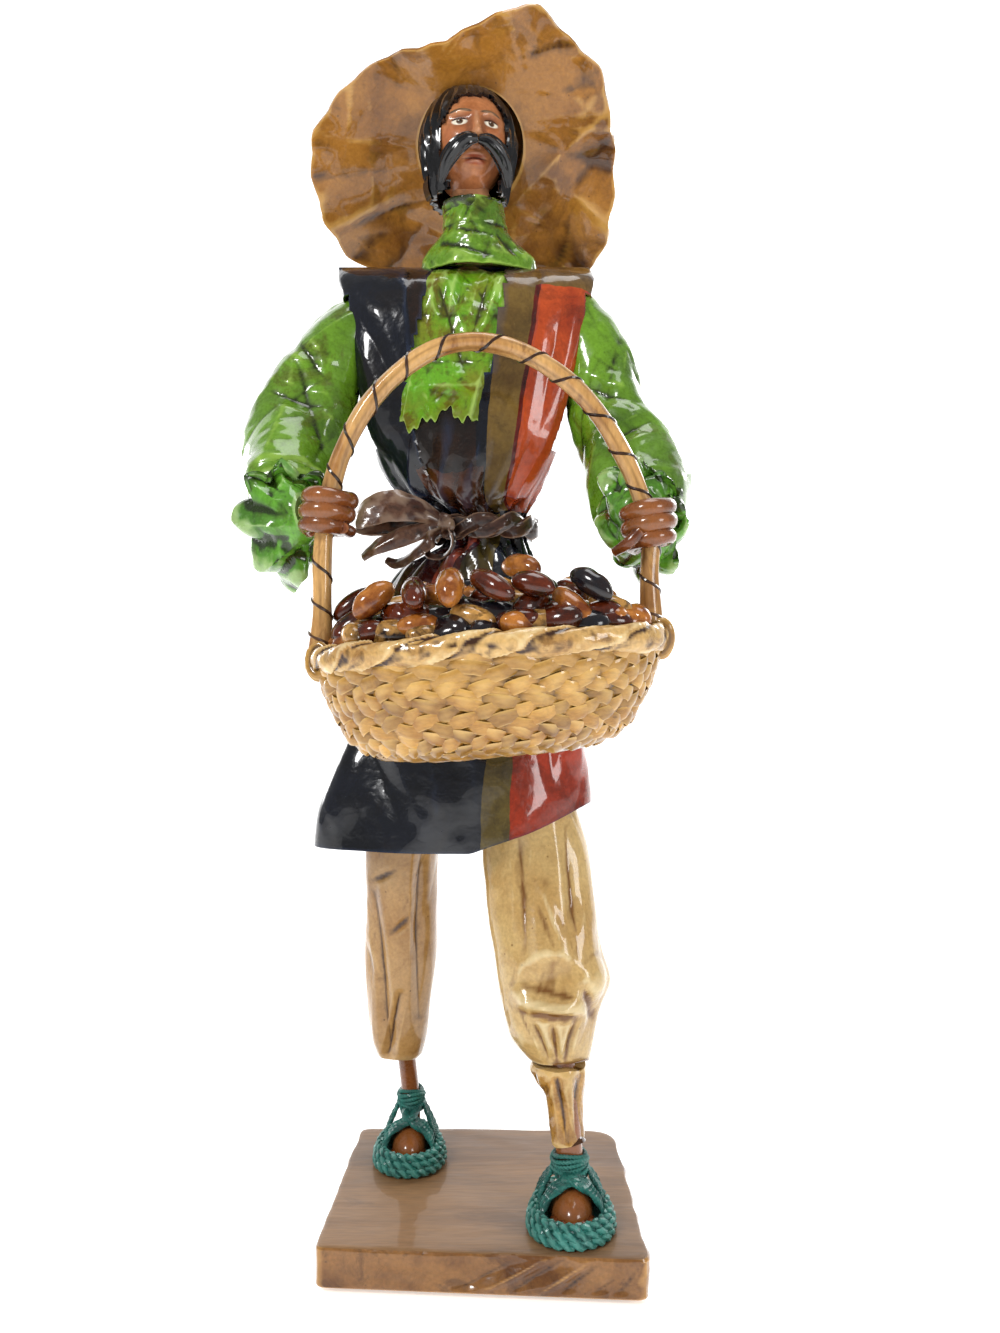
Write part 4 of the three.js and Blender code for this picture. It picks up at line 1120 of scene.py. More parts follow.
@dataclass
class Shirt:
    """The green shirt: a stand-up collar, the breast in the neck opening, sleeves and ruffled cuffs."""

    collar: tuple[tuple[float, ...], ...] = (
        (462, -4, -1, 28, 17.5),
        (468, -4, -1, 27, 16.8),
        (473, -5.2, 0, 23.5, 16.2),
        (478, -6.3, 0, 18.8, 15.4),
        (482.5, -7, 0, 15.6, 14.4),
        (484.5, -7, 0, 16.1, 14.9),
        (490, -7.4, 0, 15.2, 14.4),
        (496, -7.5, 0, 14.4, 13.8),
    )
    collar_wall: float = 1.0
    breast_wall: float = 0.9

    def build(self) -> None:
        """Builds the collar and the shirt's breast."""
        green = Paper.GREEN.value.material()

        def rise(u: Array, v: Array) -> Array:
            """Points of the collar, with its edge rolled inwards.

            Args:
                u: the share round it.
                v: the share of the way up, its last part the rolled edge.

            Returns:
                The points.
            """
            low, high = self.collar[0][0], self.collar[-1][0]
            height = low + (high - low) * np.clip(v / 0.85, 0, 1)
            x, y, wide, deep = between(self.collar, height).T
            roll = np.clip((v - 0.85) / 0.15, 0, 1)
            turn, size = u * TAU, 1 - 0.16 * roll
            return stack(x + wide * size * np.cos(turn), y + deep * size * np.sin(turn),
                         height - 6 * roll * roll)

        collar = relieve(skin(150, 56, rise), Creases(17, 1.7, 31, 0.35),
                         Fold((-22, 474), (2, 466), 3, 1.6), Fold((-16, 480), (2, 477), 2, 1.0),
                         Fold((4, 478), (16, 466), 3, 1.4), Fold((-8, 494), (-12, 484), 2, 0.8))
        thicken(collar, self.collar_wall)
        finish_piece(collar, "shirt_collar_paper", [green], ["shirt_collar"], 30)

        def breast(u: Array, v: Array) -> Array:
            """Points of the shirt's breast, behind the lapels and torn along its foot.

            Args:
                u: the share across, from its right edge.
                v: the share of the height.

            Returns:
                The points.
            """
            torn = (1 - v) ** 8 * (3 * u + 3 * np.sin(u * 9 + 2.5) + 2 * np.sin(u * 23) + 1.2
                                   * np.sin(u * 61))
            height = 385 + 83 * v + torn
            left, right = between(NECK_LEFT, height)[:, 0], between(NECK_RIGHT, height)[:, 0]
            x = left - 2.5 + (right - left + 5) * u
            proud = np.clip((414 - height) / 12, 0, 1)
            edge = np.clip(np.minimum(u, 1 - u) * 9, 0, 1)
            loose = 2.4 * np.sin(math.pi * np.clip((466 - height) / 30, 0, 1)) * edge
            return stack(x, tunic_face(x, height) + 1.5 - 4.4 * proud * edge - loose, height)

        sheet = relieve(skin(90, 130, breast, weld=False), Creases(24, 2.0, 44, 0.35),
                        Fold((-26, 460), (-12, 412), 5, 2.2), Fold((2, 462), (-8, 425), 4, 1.8),
                        Fold((-14, 462), (-20, 430), 3.5, -1.6), Fold((6, 455), (-2, 432), 3, -1.2))
        thicken(sheet, self.breast_wall)
        stained = Finish("lime_paper_amber_stained", "5f9a1c", "6e7a18", "2c2a08", "b2d070", patch=22,
                         rough=0.22, wrinkle=0.25, hollow_shading=0.95, crest_highlighting=0.5, stain="5b4710", stains=0.75,
                         specks=0.4).material()
        finish_piece(sheet, "shirt_breast_paper", [stained], ["shirt_front"], 30)


@dataclass
class Arm:
    """A puffed sleeve with its ruffled cuff."""

    side: str
    sleeve: Table
    cuff: Table
    folds: tuple[Relief, ...]
    seed: int
    ruffles: int = 8

    def build(self) -> None:
        """Builds the sleeve and the cuff."""
        green = Paper.GREEN.value.material()
        # the cuff's paper: its pale raised places are painted highlights as well as wear
        pale = Finish("worn_lime_paper_varnished_painted_highlights", "5d9a2c", "41701f", "1c2a0a", "b4cf8a", patch=30,
                      rough=0.24, wrinkle=0.1,
                      hollow_shading=0.95, crest_highlighting=0.5, stain="3c4412", stains=0.5, specks=0.4).material()
        path = curve(self.sleeve, 130)
        sleeve = sweep(path[:, :3], path[:, 3:], 120, (0, 1, 0.15))
        relieve(sleeve, Creases(50, 7.0, self.seed, 0.26), *self.folds)
        finish_piece(sleeve, f"{self.side}_sleeve_paper", [green], [f"{self.side}_sleeve"], 26)
        path = curve(self.cuff, 70)

        def ruffle(turn: Array, v: Array) -> Array:
            """The cuff's pleats, open in the middle and drawn in at the wrist."""
            wide = np.sin(math.pi * np.clip(v * 1.12, 0, 1))
            return 1 + wide * (0.17 * zigzag(turn / TAU * self.ruffles + 0.4 * np.sin(v * 5)) + 0.07
                               * np.sin(3 * turn + 4 * v))

        cuff = sweep(path[:, :3], path[:, 3:], 150, (1, 0, 0.2), ridge=ruffle)
        relieve(cuff, Creases(24, 3.8, self.seed + 5, 0.24))
        finish_piece(cuff, f"{self.side}_cuff_paper", [pale], [f"{self.side}_cuff"], 26)


@dataclass
class Sash:
    """The twisted paper sash and its bow at the figure's right."""

    half: tuple[float, float] = (24.2, 17.6)
    middle: tuple[float, float] = (-2.3, -0.6)

    def ribbon(self, points: Table, wide: Sequence[float], lean: Sequence[float], curl: float = 1.2,
               count: int = 60) -> Mesh:
        """A creased ribbon along points.

        Args:
            points: its middle line.
            wide: its half width from start to end.
            lean: the direction across it.
            curl: how far its edges curl.
            count: cells along it.

        Returns:
            The mesh.
        """
        path = curve(points, count + 1)
        lean = np.asarray(lean, float) / np.linalg.norm(lean)
        ahead = np.gradient(path, axis=0)
        ahead /= np.linalg.norm(ahead, axis=1)[:, None]
        across = lean - ahead * (ahead @ lean)[:, None]
        across /= np.linalg.norm(across, axis=1)[:, None]
        face = np.cross(ahead, across)

        def place(u: Array, v: Array) -> Array:
            """Points of the ribbon."""
            i = np.rint(v * count).astype(int)
            half = np.interp(v, np.linspace(0, 1, len(wide)), wide)
            s = 2 * u - 1
            ripple = curl * (s * s + 0.12 * zigzag(u * 1.5 + v * 1.2))
            return path[i] + across[i] * (half * s)[:, None] + face[i] * ripple[:, None]

        bm = skin(14, count, place, weld=False)
        relieve(bm, Creases(9, 0.6, 77))
        thicken(bm, 0.8)
        return bm

    def build(self) -> None:
        """Builds the sash and its bow."""
        sash = Paper.SASH.value.material()
        t = np.linspace(0, TAU, 161)
        parts = []
        for j in range(2):
            phase = 5 * t + math.pi * j
            out = 1.0 * np.cos(phase)
            x = self.middle[0] + (self.half[0] + out) * np.cos(t)
            y = self.middle[1] + (self.half[1] + out) * np.sin(t)
            z = WAIST + 0.035 * (x - self.middle[0]) + 2.6 * np.sin(phase)
            path = stack(x, y, z)
            path[-1] = path[0]
            parts.append(sweep(path, np.tile([1.5, 3.6], (161, 1)), 14, loop=True,
                               ridge=lambda turn, v: 1 + 0.14 * zigzag(turn / TAU * 5 + v * 9)))
        finish_piece(gather(parts), "sash_paper", [sash], ["sash"], 30)
        knot = bmesh.new()
        knot.loops.layers.uv.new("UVMap")
        place = Matrix.Translation((-20.5, -21, 338)) @ Matrix.Diagonal((5, 3.8, 6, 1))
        bmesh.ops.create_uvsphere(knot, u_segments=36, v_segments=24, radius=1, matrix=place)
        relieve(knot, Creases(6, 0.9, 3))
        bow = [
            knot,
            self.ribbon([(-19, -21.5, 339), (-30, -27, 344), (-44, -30, 346.5), (-57, -29.5, 343),
                         (-61.5, -26.5, 339.5), (-54, -23.5, 337), (-38, -22.5, 336), (-22, -21, 337)],
                        (2.6, 5.6, 8.2, 8.0, 6.0, 5.0, 4.2, 2.6), (0.12, 0.3, 0.95), 1.6),
            self.ribbon(
                [(-20, -22.5, 337), (-30, -27, 335), (-42, -29, 331), (-52, -28, 327.5), (-59, -25, 323)],
                        (2.4, 4.2, 4.8, 4.4, 2.6), (0.35, 0.2, 0.9), 1.4),
            self.ribbon(
                [(-20, -22, 336), (-26, -27, 331), (-34, -27.5, 325), (-43, -25, 320), (-48, -23, 322)],
                        (2.2, 3.8, 4.0, 3.4, 2), (0.6, 0.2, 0.75), 1.2),
            self.ribbon(
                [(-19, -22, 336), (-17.5, -26.5, 330), (-21, -27, 323.5), (-27, -25, 324.5), (-26, -22, 331)],
                        (2.2, 3.2, 3.2, 2.4), (0.2, 0.9, 0.3), count=40),
        ]
        tan = Finish("tan_paper_ribbon_varnished", "5e4030", "371d16", "160b08", "ab917a", patch=16,
                     rough=0.28, wrinkle=0.25, hollow_shading=0.95, crest_highlighting=0.4, stain="2a120c", stains=0.5)
        finish_piece(gather(bow), "sash_bow_paper", [tan.material()], ["sash_bow"], 30)


@dataclass
class Hand:
    """A painted fist round the handle."""

    side: str
    spot: tuple[float, float, float]
    lean: float
    radius: float
    palm: tuple[float, float, float]
    thumb: Table
    drop: float = 0.0

    def build(self) -> None:
        """Builds the fingers, the palm and the thumb."""
        parts = []
        turn = Matrix.Rotation(math.radians(self.lean), 4, "Y")
        sizes = ((5.6, 3.9), (-1.2, 4.2), (-7.8 - self.drop, 3.6))
        for k, (up, thick) in enumerate(sizes):
            t = np.linspace(math.radians(95 + 6 * k), math.radians(-235 + 8 * k), 40)
            out = self.radius - 0.3 + 0.5 * math.sin(k * 2 + 1)
            ring = stack(out * np.cos(t), out * np.sin(t), up + 1.5 * np.sin(t * 0.5 + k * 0.7))
            path = np.array([(turn @ Vector(p))[:] for p in ring]) + np.asarray(self.spot)
            swell = thick * (1 - 0.08 * np.cos(np.linspace(0, TAU * 2.5, 40)))
            parts.append(sweep(path, stack(swell, swell * 1.04), 16, (0.1, 0.05, 1)))
        heel = bmesh.new()
        heel.loops.layers.uv.new("UVMap")
        place = Matrix.Translation(self.palm) @ Matrix.Diagonal((8.2, 4.3, 8.4, 1))
        bmesh.ops.create_uvsphere(heel, u_segments=32, v_segments=20, radius=1, matrix=place)
        parts.append(relieve(heel, Creases(9, 0.35, 2)))
        line = curve(self.thumb, 30)
        parts.append(sweep(line[:, :3], line[:, 3:], 16, (1, 0.2, 0.1)))
        finish_piece(gather(parts), f"{self.side}_painted_hand", [Paper.SKIN.value.material()],
                     [f"{self.side}_hand"], 50)


# ---------- the head and hat ----------


@dataclass
class Head:
    """The painted head, with hair and moustache modelled in paste."""

    at: tuple[float, float, float] = (-10, 2, 525)
    half: tuple[float, float, float] = (20.5, 22.5, 26.5)
    turn: float = 0.2
    nod: float = -0.1

    def settle(self, p: Array) -> Array:
        """Takes points from the head's own frame to the figure's."""
        turned = np.array(Euler((self.nod, 0, self.turn)).to_matrix())
        return p @ turned.T + np.asarray(self.at)

    def face(self, u: Array, v: Array) -> Array:
        """Points of the head in its own frame: u round it from the back, v from the chin up.

        Args:
            u: shares round the head.
            v: shares of its height.

        Returns:
            The points.
        """
        a, b = u * TAU + TAU / 4, (v - 0.5) * math.pi
        px, py, pz = np.cos(b) * np.cos(a), np.cos(b) * np.sin(a), np.sin(b)
        taper = np.where(pz < 0, 1 - 0.3 * np.abs(pz) ** 1.6, 1)
        x, z = self.half[0] * px * taper, self.half[2] * pz
        y = self.half[1] * py * np.where((py < 0) & (pz < 0), 1 - 0.12 * np.abs(pz) ** 3, 1)
        ahead = np.clip(-py * 3, 0, 1)
        forms = (
            (5.2, 0, -6.4, 2.5, 2.7), (2.6, 0, -1.6, 1.9, 5.2), (1.5, 2.6, -7.6, 1.6, 1.7),
            (1.5, -2.6, -7.6, 1.6, 1.7),
            (0.9, 7, 6.2, 5.2, 1.9), (0.9, -7, 6.2, 5.2, 1.9), (-2.6, 7.6, 1.6, 4.2, 3.2),
            (-2.6, -7.6, 1.6, 4.2, 3.2),
            (1.9, 7.6, 1.3, 3.1, 2.0), (1.9, -7.6, 1.3, 3.1, 2.0), (1.2, 9.6, -6.5, 4.6, 4.6),
            (1.2, -9.6, -6.5, 4.6, 4.6),
            (1.3, 0, -13.6, 4.6, 1.1), (1.5, 0, -16.6, 3.8, 1.3), (-0.8, 0, -15.1, 5, 0.6),
            (2.2, 0, -21.8, 4.6, 3.2), (-0.7, 0, -10.6, 1.1, 1.6),
        )
        for high, *spot in forms:
            y = y - ahead * high * bump(x, z, spot)
        return stack(x, y, z)

    def build_face(self) -> None:
        """Builds the head and its painted face."""
        bm = skin(180, 150, self.face)
        remap(bm, lambda co, uv: np.where(co[:, 1:2] < 2, co[:, [0, 2]], 60.0))
        place_spots(bm, self.settle(spots(bm)))
        line = curve([(-7, 0, 468, 9.2, 9.2), (-7.5, 0, 486, 9.2, 9.2), (-10, 3, 514, 9.2, 9.2)], 24)
        neck = sweep(line[:, :3], line[:, 3:], 32, (1, 0, 0))
        remap(neck, lambda co, uv: np.full_like(uv, 60.0))
        dabs = []
        for side in (-1, 1):
            eye, brow = 7.6 * side, 7.4 * side
            dabs += [
                Dab("9c4a2c", (9.8 * side, -6.0), (5.2, 4.2), 0, 0.8, 0.4),
                # a soft darker brown round each eye: painted shade in the eye socket
                Dab("7c4526", (eye, 2.2), (4.9, 3.0), 0, 0.6, 0.5),
                Dab("e8e0cc", (eye, 1.3), (3.5, 1.75), 0.06 * side, 0.12),
                Dab("4a2a12", (eye, 1.45), (1.55, 1.6), 0, 0.14),
                Dab("0a0808", (eye, 1.45), (0.8, 0.85), 0, 0.2),
                # a small white dot in each eye: a painted glint
                Dab("f4f2ea", (eye - 0.5, 2.0), (0.32, 0.32), 0, 0.3),
                Dab("0f0c0b", (eye - 1.7 * side, 2.7), (2.1, 0.42), 0.42 * side, 0.25),
                Dab("0f0c0b", (eye + 1.6 * side, 2.85), (2.1, 0.45), -0.32 * side, 0.25),
                Dab("0f0c0b", (brow - 2.2 * side, 6.6), (3.0, 0.75), 0.22 * side, 0.25),
                Dab("0f0c0b", (brow + 2.2 * side, 6.7), (3.0, 0.65), -0.22 * side, 0.25),
                # dark under each side of the nose: painted shade in the nostrils
                Dab("5b2b18", (2.3 * side, -8.2), (0.9, 0.6), 0, 0.4, 0.8),
            ]
        dabs += [Dab("8c3626", (0, -16.2), (4.6, 1.5), 0, 0.25, 0.85),
                 Dab("7b2e20", (0, -13.9), (4.9, 0.95), 0, 0.3, 0.85),
                 # a dark line between the lips: painted shade in the mouth's parting
                 Dab("3f170f", (0, -15.1), (4.9, 0.3), 0, 0.4, 0.9)]
        paint = FacePaint("flesh_painted_paste_varnished", "b8774c", "9a5c36", "4e2210", "e0b48c", patch=16,
                          rough=0.34, coat=0.6, wrinkle=0.04, hollow_shading=0.5, crest_highlighting=0.25, dabs=tuple(dabs))
        finish_piece(gather([bm, neck]), "painted_head", [paint.material()], ["head"], 60)

    def build_hair(self) -> None:
        """Builds the hair: a grooved cap that hangs at the sides and frames the face."""

        def place(u: Array, v: Array) -> Array:
            """Points of the hair in the head's frame: down the outside from the crown.

            Args:
                u: the share round the head.
                v: the share of the way down.

            Returns:
                The points.
            """
            b = math.pi / 2 - v * math.pi * 0.5 / 0.55
            hang = np.clip((v - 0.55) / 0.45, 0, 1)
            a = u * TAU + TAU / 4
            round_ = np.where(hang > 0, 1.0, np.cos(np.clip(b, 0, None)))
            z = np.where(hang > 0, -27 * hang, 29.5 * np.sin(np.clip(b, 0, None)))
            strand = (0.9 * np.sin(TAU * u * 21 + 1.6 * np.sin(z / 8))
                      + 0.4 * np.sin(TAU * u * 47 + np.sin(z / 5)))
            size = (1 - 0.2 * hang**1.5) * round_
            back = np.sin(a) > 0
            x = (23.2 + strand) * np.cos(a) * size
            y = (np.where(back, 25.4, 23.6) + strand) * np.sin(a) * size + np.where(back, 0, 3.5 * hang)
            return stack(x, y, z)

        bm = skin(164, 74, lambda u, v: place(1 - u, v))
        x, y, z = centres(bm).T
        fringe = 17.5 - 1.6 * np.cos(x / 2.6) - 0.045 * (x - 2) ** 2
        edge = 16.6 + 0.5 * np.sin(z / 3.1) - 0.0075 * np.clip(-z - 4, 0, None) ** 2
        remove(bm, (y < 6) & (np.abs(x) < edge) & (z < fringe))
        bm.normal_update()
        thicken(bm, 2.2)
        place_spots(bm, self.settle(spots(bm)))
        finish_piece(bm, "black_hair", [Paper.BLACK.value.material()], ["hair"], 40)

    def build_moustache(self) -> None:
        """Builds the drooping moustache."""
        half = ((0.4, -25.2, -9.4, 1.9), (5, -25, -10.2, 3.4), (10.2, -22.6, -13.4, 3.9),
                (14.2, -18.8, -19, 3.4), (16.4, -14.5, -26.5, 1.5))
        parts = []
        for side in (-1, 1):
            line = curve([(x * side, y, z, r, r) for x, y, z, r in half], 60)
            hair = sweep(self.settle(line[:, :3]), line[:, 3:], 44, (0, 1, 0.4),
                         ridge=lambda turn,
                         v: 1 + 0.09 * zigzag(turn / TAU * 9 + 0.6 * v) + 0.03 * zigzag(turn / TAU * 23))
            parts.append(hair)
        finish_piece(gather(parts), "black_moustache", [Paper.BLACK.value.material()],
                     ["moustache"], 40)

    def build(self) -> None:
        """Builds the head, hair and moustache."""
        self.build_face()
        self.build_hair()
        self.build_moustache()


@dataclass
class Hat:
    """The wide hat of crumpled paper, tipped back, with its crown behind the head."""

    at: tuple[float, float, float] = (-9, 14, 530)
    lean: float = math.radians(40)
    opening: tuple[float, float] = (26, 28.5)
    crown: float = 40
    top: float = 0.72
    dish: float = 7
    wave: float = 3.2
    outline: Table = (
        (-5, 72), (14, 70), (30, 71), (41, 68), (50, 67), (57, 70), (65, 71.5), (73, 67), (85, 59), (104, 53),
        (124, 54.5), (138, 59), (150, 65), (167, 73), (176, 78), (195, 80.5), (207, 81.5), (224, 83),
        (270, 63), (307, 76), (316, 84), (324, 82.5), (337, 77),
    )

    def reach(self, angle: Array) -> Array:
        """How far the brim reaches at an angle in degrees."""
        rows = list(self.outline)
        wrapped = [(rows[-1][0] - 360, rows[-1][1]), *rows, (rows[0][0] + 360, rows[0][1]),
                   (rows[1][0] + 360, rows[1][1])]
        return between(wrapped, (angle + 5) % 360 - 5)[:, 0]

    def build(self) -> None:
        """Builds the hat."""
        profile = np.array(
            [(0, 0, 40), (0.12, 0.5, 38), (0.2, 0.72, 30), (0.3, 0.96, 12), (0.38, 1.0, 0), (1, 2.0, 0)])
        profile[:, 2] *= self.crown / 40

        def place(u: Array, v: Array) -> Array:
            """Points of the hat's sheet, from the crown's middle to the brim's edge.

            Args:
                u: the share round the hat.
                v: the share of the way outwards.

            Returns:
                The points.
            """
            turn = u * TAU
            out, up = (np.interp(v, profile[:, 0], profile[:, k]) for k in (1, 2))
            inner = np.hypot(self.opening[0] * np.cos(turn), self.opening[1] * np.sin(turn))
            share = np.clip(out - 1, 0, None)
            ragged = 1 + 0.012 * zigzag(u * 23) * share**4
            radius = np.where(share > 0, inner + (self.reach(np.degrees(turn)) * ragged - inner) * share,
                              inner * out)
            ripple = share * self.wave * (np.sin(3 * turn + 0.6) + 0.6 * np.sin(5 * turn + 2)
                                          + 0.6 * np.cos(8 * turn))
            fold = share * (1 - 0.4 * share) * 2.0 * zigzag(u * 5 + 0.5 * np.sin(turn * 2) + 0.25 * share)
            w = up - self.dish * share**2 + ripple + fold
            sin, cos = math.sin(self.lean), math.cos(self.lean)
            across = radius * np.sin(turn)
            return stack(self.at[0] + radius * np.cos(turn), self.at[1] - across * sin + w * cos,
                         self.at[2] + across * cos + w * sin)

        def on_brim(relief: Relief, base: float) -> Relief:
            """A relief that grows away from the crown.

            Args:
                relief: the full relief.
                base: the share of it that the crown keeps.

            Returns:
                The weakened relief.
            """

            def heights(p: Array, n: Array) -> Array:
                """The relief's heights."""
                far = np.linalg.norm(p - np.asarray(self.at), axis=1)
                return relief(p, n) * np.clip((far - 22) / 22, base, 1)

            return heights

        bm = skin(224, 94, place)
        bmesh.ops.reverse_faces(bm, faces=bm.faces[:])
        relieve(bm, on_brim(Creases(60, 6.0, 60, 0.34), 0.2))
        thicken(bm, 1.5)
        finish_piece(bm, "hat_paper", [Paper.HAT.value.material()], ["hat"], 26)


# ---------- the basket and its beans ----------


@dataclass
class Basket:
    """The oval basket of plaited palm leaf, its bound rim and arched handle."""

    at: tuple[float, float] = (1.2, -73)
    rim: float = 284.5
    half: tuple[float, float] = (75.5, 41.5)
    slope: float = 0.07
    courses: int = 8
    waves: int = 8
    profile: Table = ((0.5, 236.5), (0.62, 237.5), (0.72, 242), (0.8, 248.5), (0.87, 258), (0.915, 267),
                      (0.95, 277))

    def ring(self, t: Array, share: Array | float, out: Array | float, z: Array | float) -> Array:
        """Points round the basket.

        Args:
            t: angles.
            share: share of the rim's half sizes.
            out: distance outside that.
            z: height before the rim's slope.

        Returns:
            The points.
        """
        wide = (self.half[0] * share + out) * np.cos(t)
        return stack(self.at[0] + wide, self.at[1] + (self.half[1] * share + out) * np.sin(t),
                     z + self.slope * wide)

    def build_wall(self) -> None:
        """Builds the lining, dark as painted shade for the gaps between the plaits, and the plaited courses.
        """
        rows = np.array(
            [(0, 0, 236.6), (0.1, 0.48, 236.6), (0.16, 0.6, 238.5), (0.26, 0.75, 247), (0.38, 0.84, 258),
                         (0.5, 0.9, 270), (0.6, 0.92, 281), (0.66, 0.88, 281), (0.76, 0.83, 270),
                         (0.86, 0.74, 254), (0.95, 0.6, 246), (1, 0, 245)])
        lining = skin(96, 60, lambda u, v: self.ring(u * TAU, np.interp(v, rows[:, 0], rows[:, 1]), 0,
                                                     np.interp(v, rows[:, 0], rows[:, 2])))
        finish_piece(lining, "basket_lining", [Paper.SHELL.value.material()], ["basket"])
        count = 241
        t = np.linspace(0, TAU, count)
        parts = []
        rows = np.asarray(self.profile)
        run = np.concatenate([[0], np.cumsum(np.hypot(np.diff(rows[:, 0]) * 58, np.diff(rows[:, 1])))])
        for k in range(self.courses):
            here, next_ = (
                np.array([np.interp(run[-1] * (k + d) / (self.courses - 1), run, rows[:, i]) for i in (0, 1)])
                           for d in (0, 0.3 if k < self.courses - 1 else -0.3))
            rise = (next_ - here) * (1 if k < self.courses - 1 else -1)
            lean = math.atan2(rise[0] * 58, rise[1])
            for j in range(3):
                phase = (self.waves + k % 3) * t * (1 if k % 2 else -1) + TAU * j / 3 + 2.1 * k
                drift = 0.8 * np.sin(2 * t + 1.7 * k) + 0.5 * np.sin(5 * t + 2.3 * k)
                over = 1.35 * np.sin(2 * phase)
                up = 2.8 * np.sin(phase) + drift
                path = self.ring(t, here[0], over + 0.4 + up * math.sin(lean), here[1] + up * math.cos(lean))
                path[-1] = path[0]
                parts.append(sweep(path, np.tile([0.7, 2.9], (count, 1)), 12, loop=True, lean=lean,
                                   ridge=lambda turn, v: 1 + 0.06 * np.cos(8 * turn)))
        foot = self.ring(t, 0.49, 0, 236.2)
        foot[-1] = foot[0]
        parts.append(sweep(foot, np.tile([1.6, 1.3], (count, 1)), 8, loop=True))
        finish_piece(gather(parts), "basket_plaits", [Paper.LEAF.value.material()], [], 50)

    def build_rim(self) -> None:
        """Builds the rim, bound with broad strips."""
        count = 601
        t = np.linspace(0, TAU, count)
        wander = 0.5 * np.sin(3 * t) + 0.35 * np.sin(7 * t + 1)
        path = self.ring(t, 0.965, -0.2 + 0.3 * np.sin(5 * t), self.rim - 5 + wander)
        path[-1] = path[0]
        wraps = 15

        def bound(turn: Array, v: Array) -> Array:
            """Each strip climbs over the one before it."""
            uneven = 0.22 * np.sin(TAU * 3 * v) + 0.15 * np.sin(TAU * 5 * v + 1)
            part = v * wraps + uneven + 2 * turn / TAU + 0.06 * np.sin(3 * turn)
            part = part - np.floor(part)
            return 0.9 + 0.34 * part - 0.34 * np.clip((part - 0.92) / 0.08, 0, 1) + 0.03 * zigzag(part * 3)

        rim = sweep(path, np.tile([3.4, 5.2], (count, 1)), 36, loop=True, ridge=bound)
        strips = Finish("palm_strip_binding_varnished", "c9a366", "a87c42", "351b09", "ecd6a4", patch=22,
                        rough=0.3,
                        wrinkle=0.2, hollow_shading=1.0, crest_highlighting=0.5, stretch=(1, 1, 1), stain="6e4419", stains=0.55,
                        specks=0.4)
        finish_piece(relieve(rim, Creases(14, 0.9, 9, 0.4)), "basket_rim_binding", [strips.material()],
                     [], 40)

    def build_handle(self) -> None:
        """Builds the arched handle with its dark spiral binding."""
        arch = ((-71.5, 270), (-70.3, 292), (-70, 318), (-68, 338), (-61.5, 362), (-47, 387), (-25, 405),
                (-4, 409.5), (20, 402.5), (43, 384), (60, 357), (69, 330), (69, 308), (70.5, 280))
        count = 300
        line = curve([(x, self.at[1], z) for x, z in arch], count)
        v = np.linspace(0, 1, count)
        swell = 3.85 + 1.7 * np.exp(-((v / 0.06) ** 2)) + 0.9 * np.exp(
            -(((1 - v) / 0.06) ** 2)) + 0.12 * np.sin(v * 61)
        cane = sweep(line, stack(swell, swell), 28, (0, 1, 0),
                     ridge=lambda turn, s: 1 + 0.07 * np.abs(np.sin(turn * 2.5 + 9 * s)))
        core = Finish("pale_cane_varnished", "c79a5e", "9c6c38", "40200c", "e6c48c", patch=16, rough=0.28,
                      hollow_shading=1.0, crest_highlighting=0.35, wrinkle=0.15, stretch=(1, 1, 3), stain="6a3c16", stains=0.5,
                      specks=0.3).material()
        finish_piece(cane, "handle_cane", [core], ["basket_handle"], 50)
        count = 1100
        v = np.linspace(0.0, 1.0, count)
        middle = np.stack([np.interp(v, np.linspace(0, 1, len(line)), line[:, k]) for k in range(3)], axis=1)
        ahead = np.gradient(middle, axis=0)
        ahead /= np.linalg.norm(ahead, axis=1)[:, None]
        side = np.cross((0, 1, 0), ahead)
        length = float(np.sum(np.linalg.norm(np.diff(line, axis=0), axis=1)))
        turn = -TAU * (v * length / 19.0) + 0.5 * np.sin(v * 37)
        tight = np.exp(-((v / 0.05) ** 2)) + np.exp(-(((1 - v) / 0.05) ** 2))
        turn -= TAU * 2.5 * np.cumsum(tight) / count * 8
        far = np.interp(v, np.linspace(0, 1, len(swell)), swell)
        path = middle + side * (far * np.cos(turn))[:, None] + np.outer(far * np.sin(turn), (0, 1, 0))
        binding = sweep(path, np.tile([0.75, 0.75], (count, 1)), 6, (0.02, 1, 0.03))
        lashings = [binding]
        for side, low in ((math.pi, 277.5), (0.0, 287.0)):
            for k in range(5):
                spread = side + (k - 2) * 0.085
                middle = self.ring(np.array([spread]), 0.965, 0, 0)[0]
                t = np.linspace(0, TAU, 41)
                out = np.array([math.cos(side), 0.15 * (k - 2), 0])
                hoop = stack(middle[0], middle[1], low - 3.5) + np.outer(3.6 * np.cos(t), out) + np.outer(
                    (7.2 - 0.5 * abs(k - 2)) * np.sin(t), (0, 0.12 * (k - 2), 1))
                hoop[-1] = hoop[0]
                lashings.append(sweep(hoop, np.tile([1.9, 0.8], (41, 1)), 8, (0, 1, 0.1), loop=True))
        finish_piece(gather(lashings[1:]), "handle_lashings", [Paper.LEAF.value.material()], [],
                     50)
        finish_piece(binding, "handle_binding", [Paper.BINDING.value.material()], [], 50)

    def build(self) -> None:
        """Builds the basket."""
        self.build_wall()
        self.build_rim()
        self.build_handle()


class Coat(Enum):
    """The beans' coats: main colour, mottle and how much of it."""

    CARAMEL = ("b87430", "6b3210", 0.3)
    CHESTNUT = ("5a210a", "220a04", 0.5)
    NAVY = ("15161c", "241510", 0.4)
    PIED = ("cc9850", "1d0f08", 0.6)


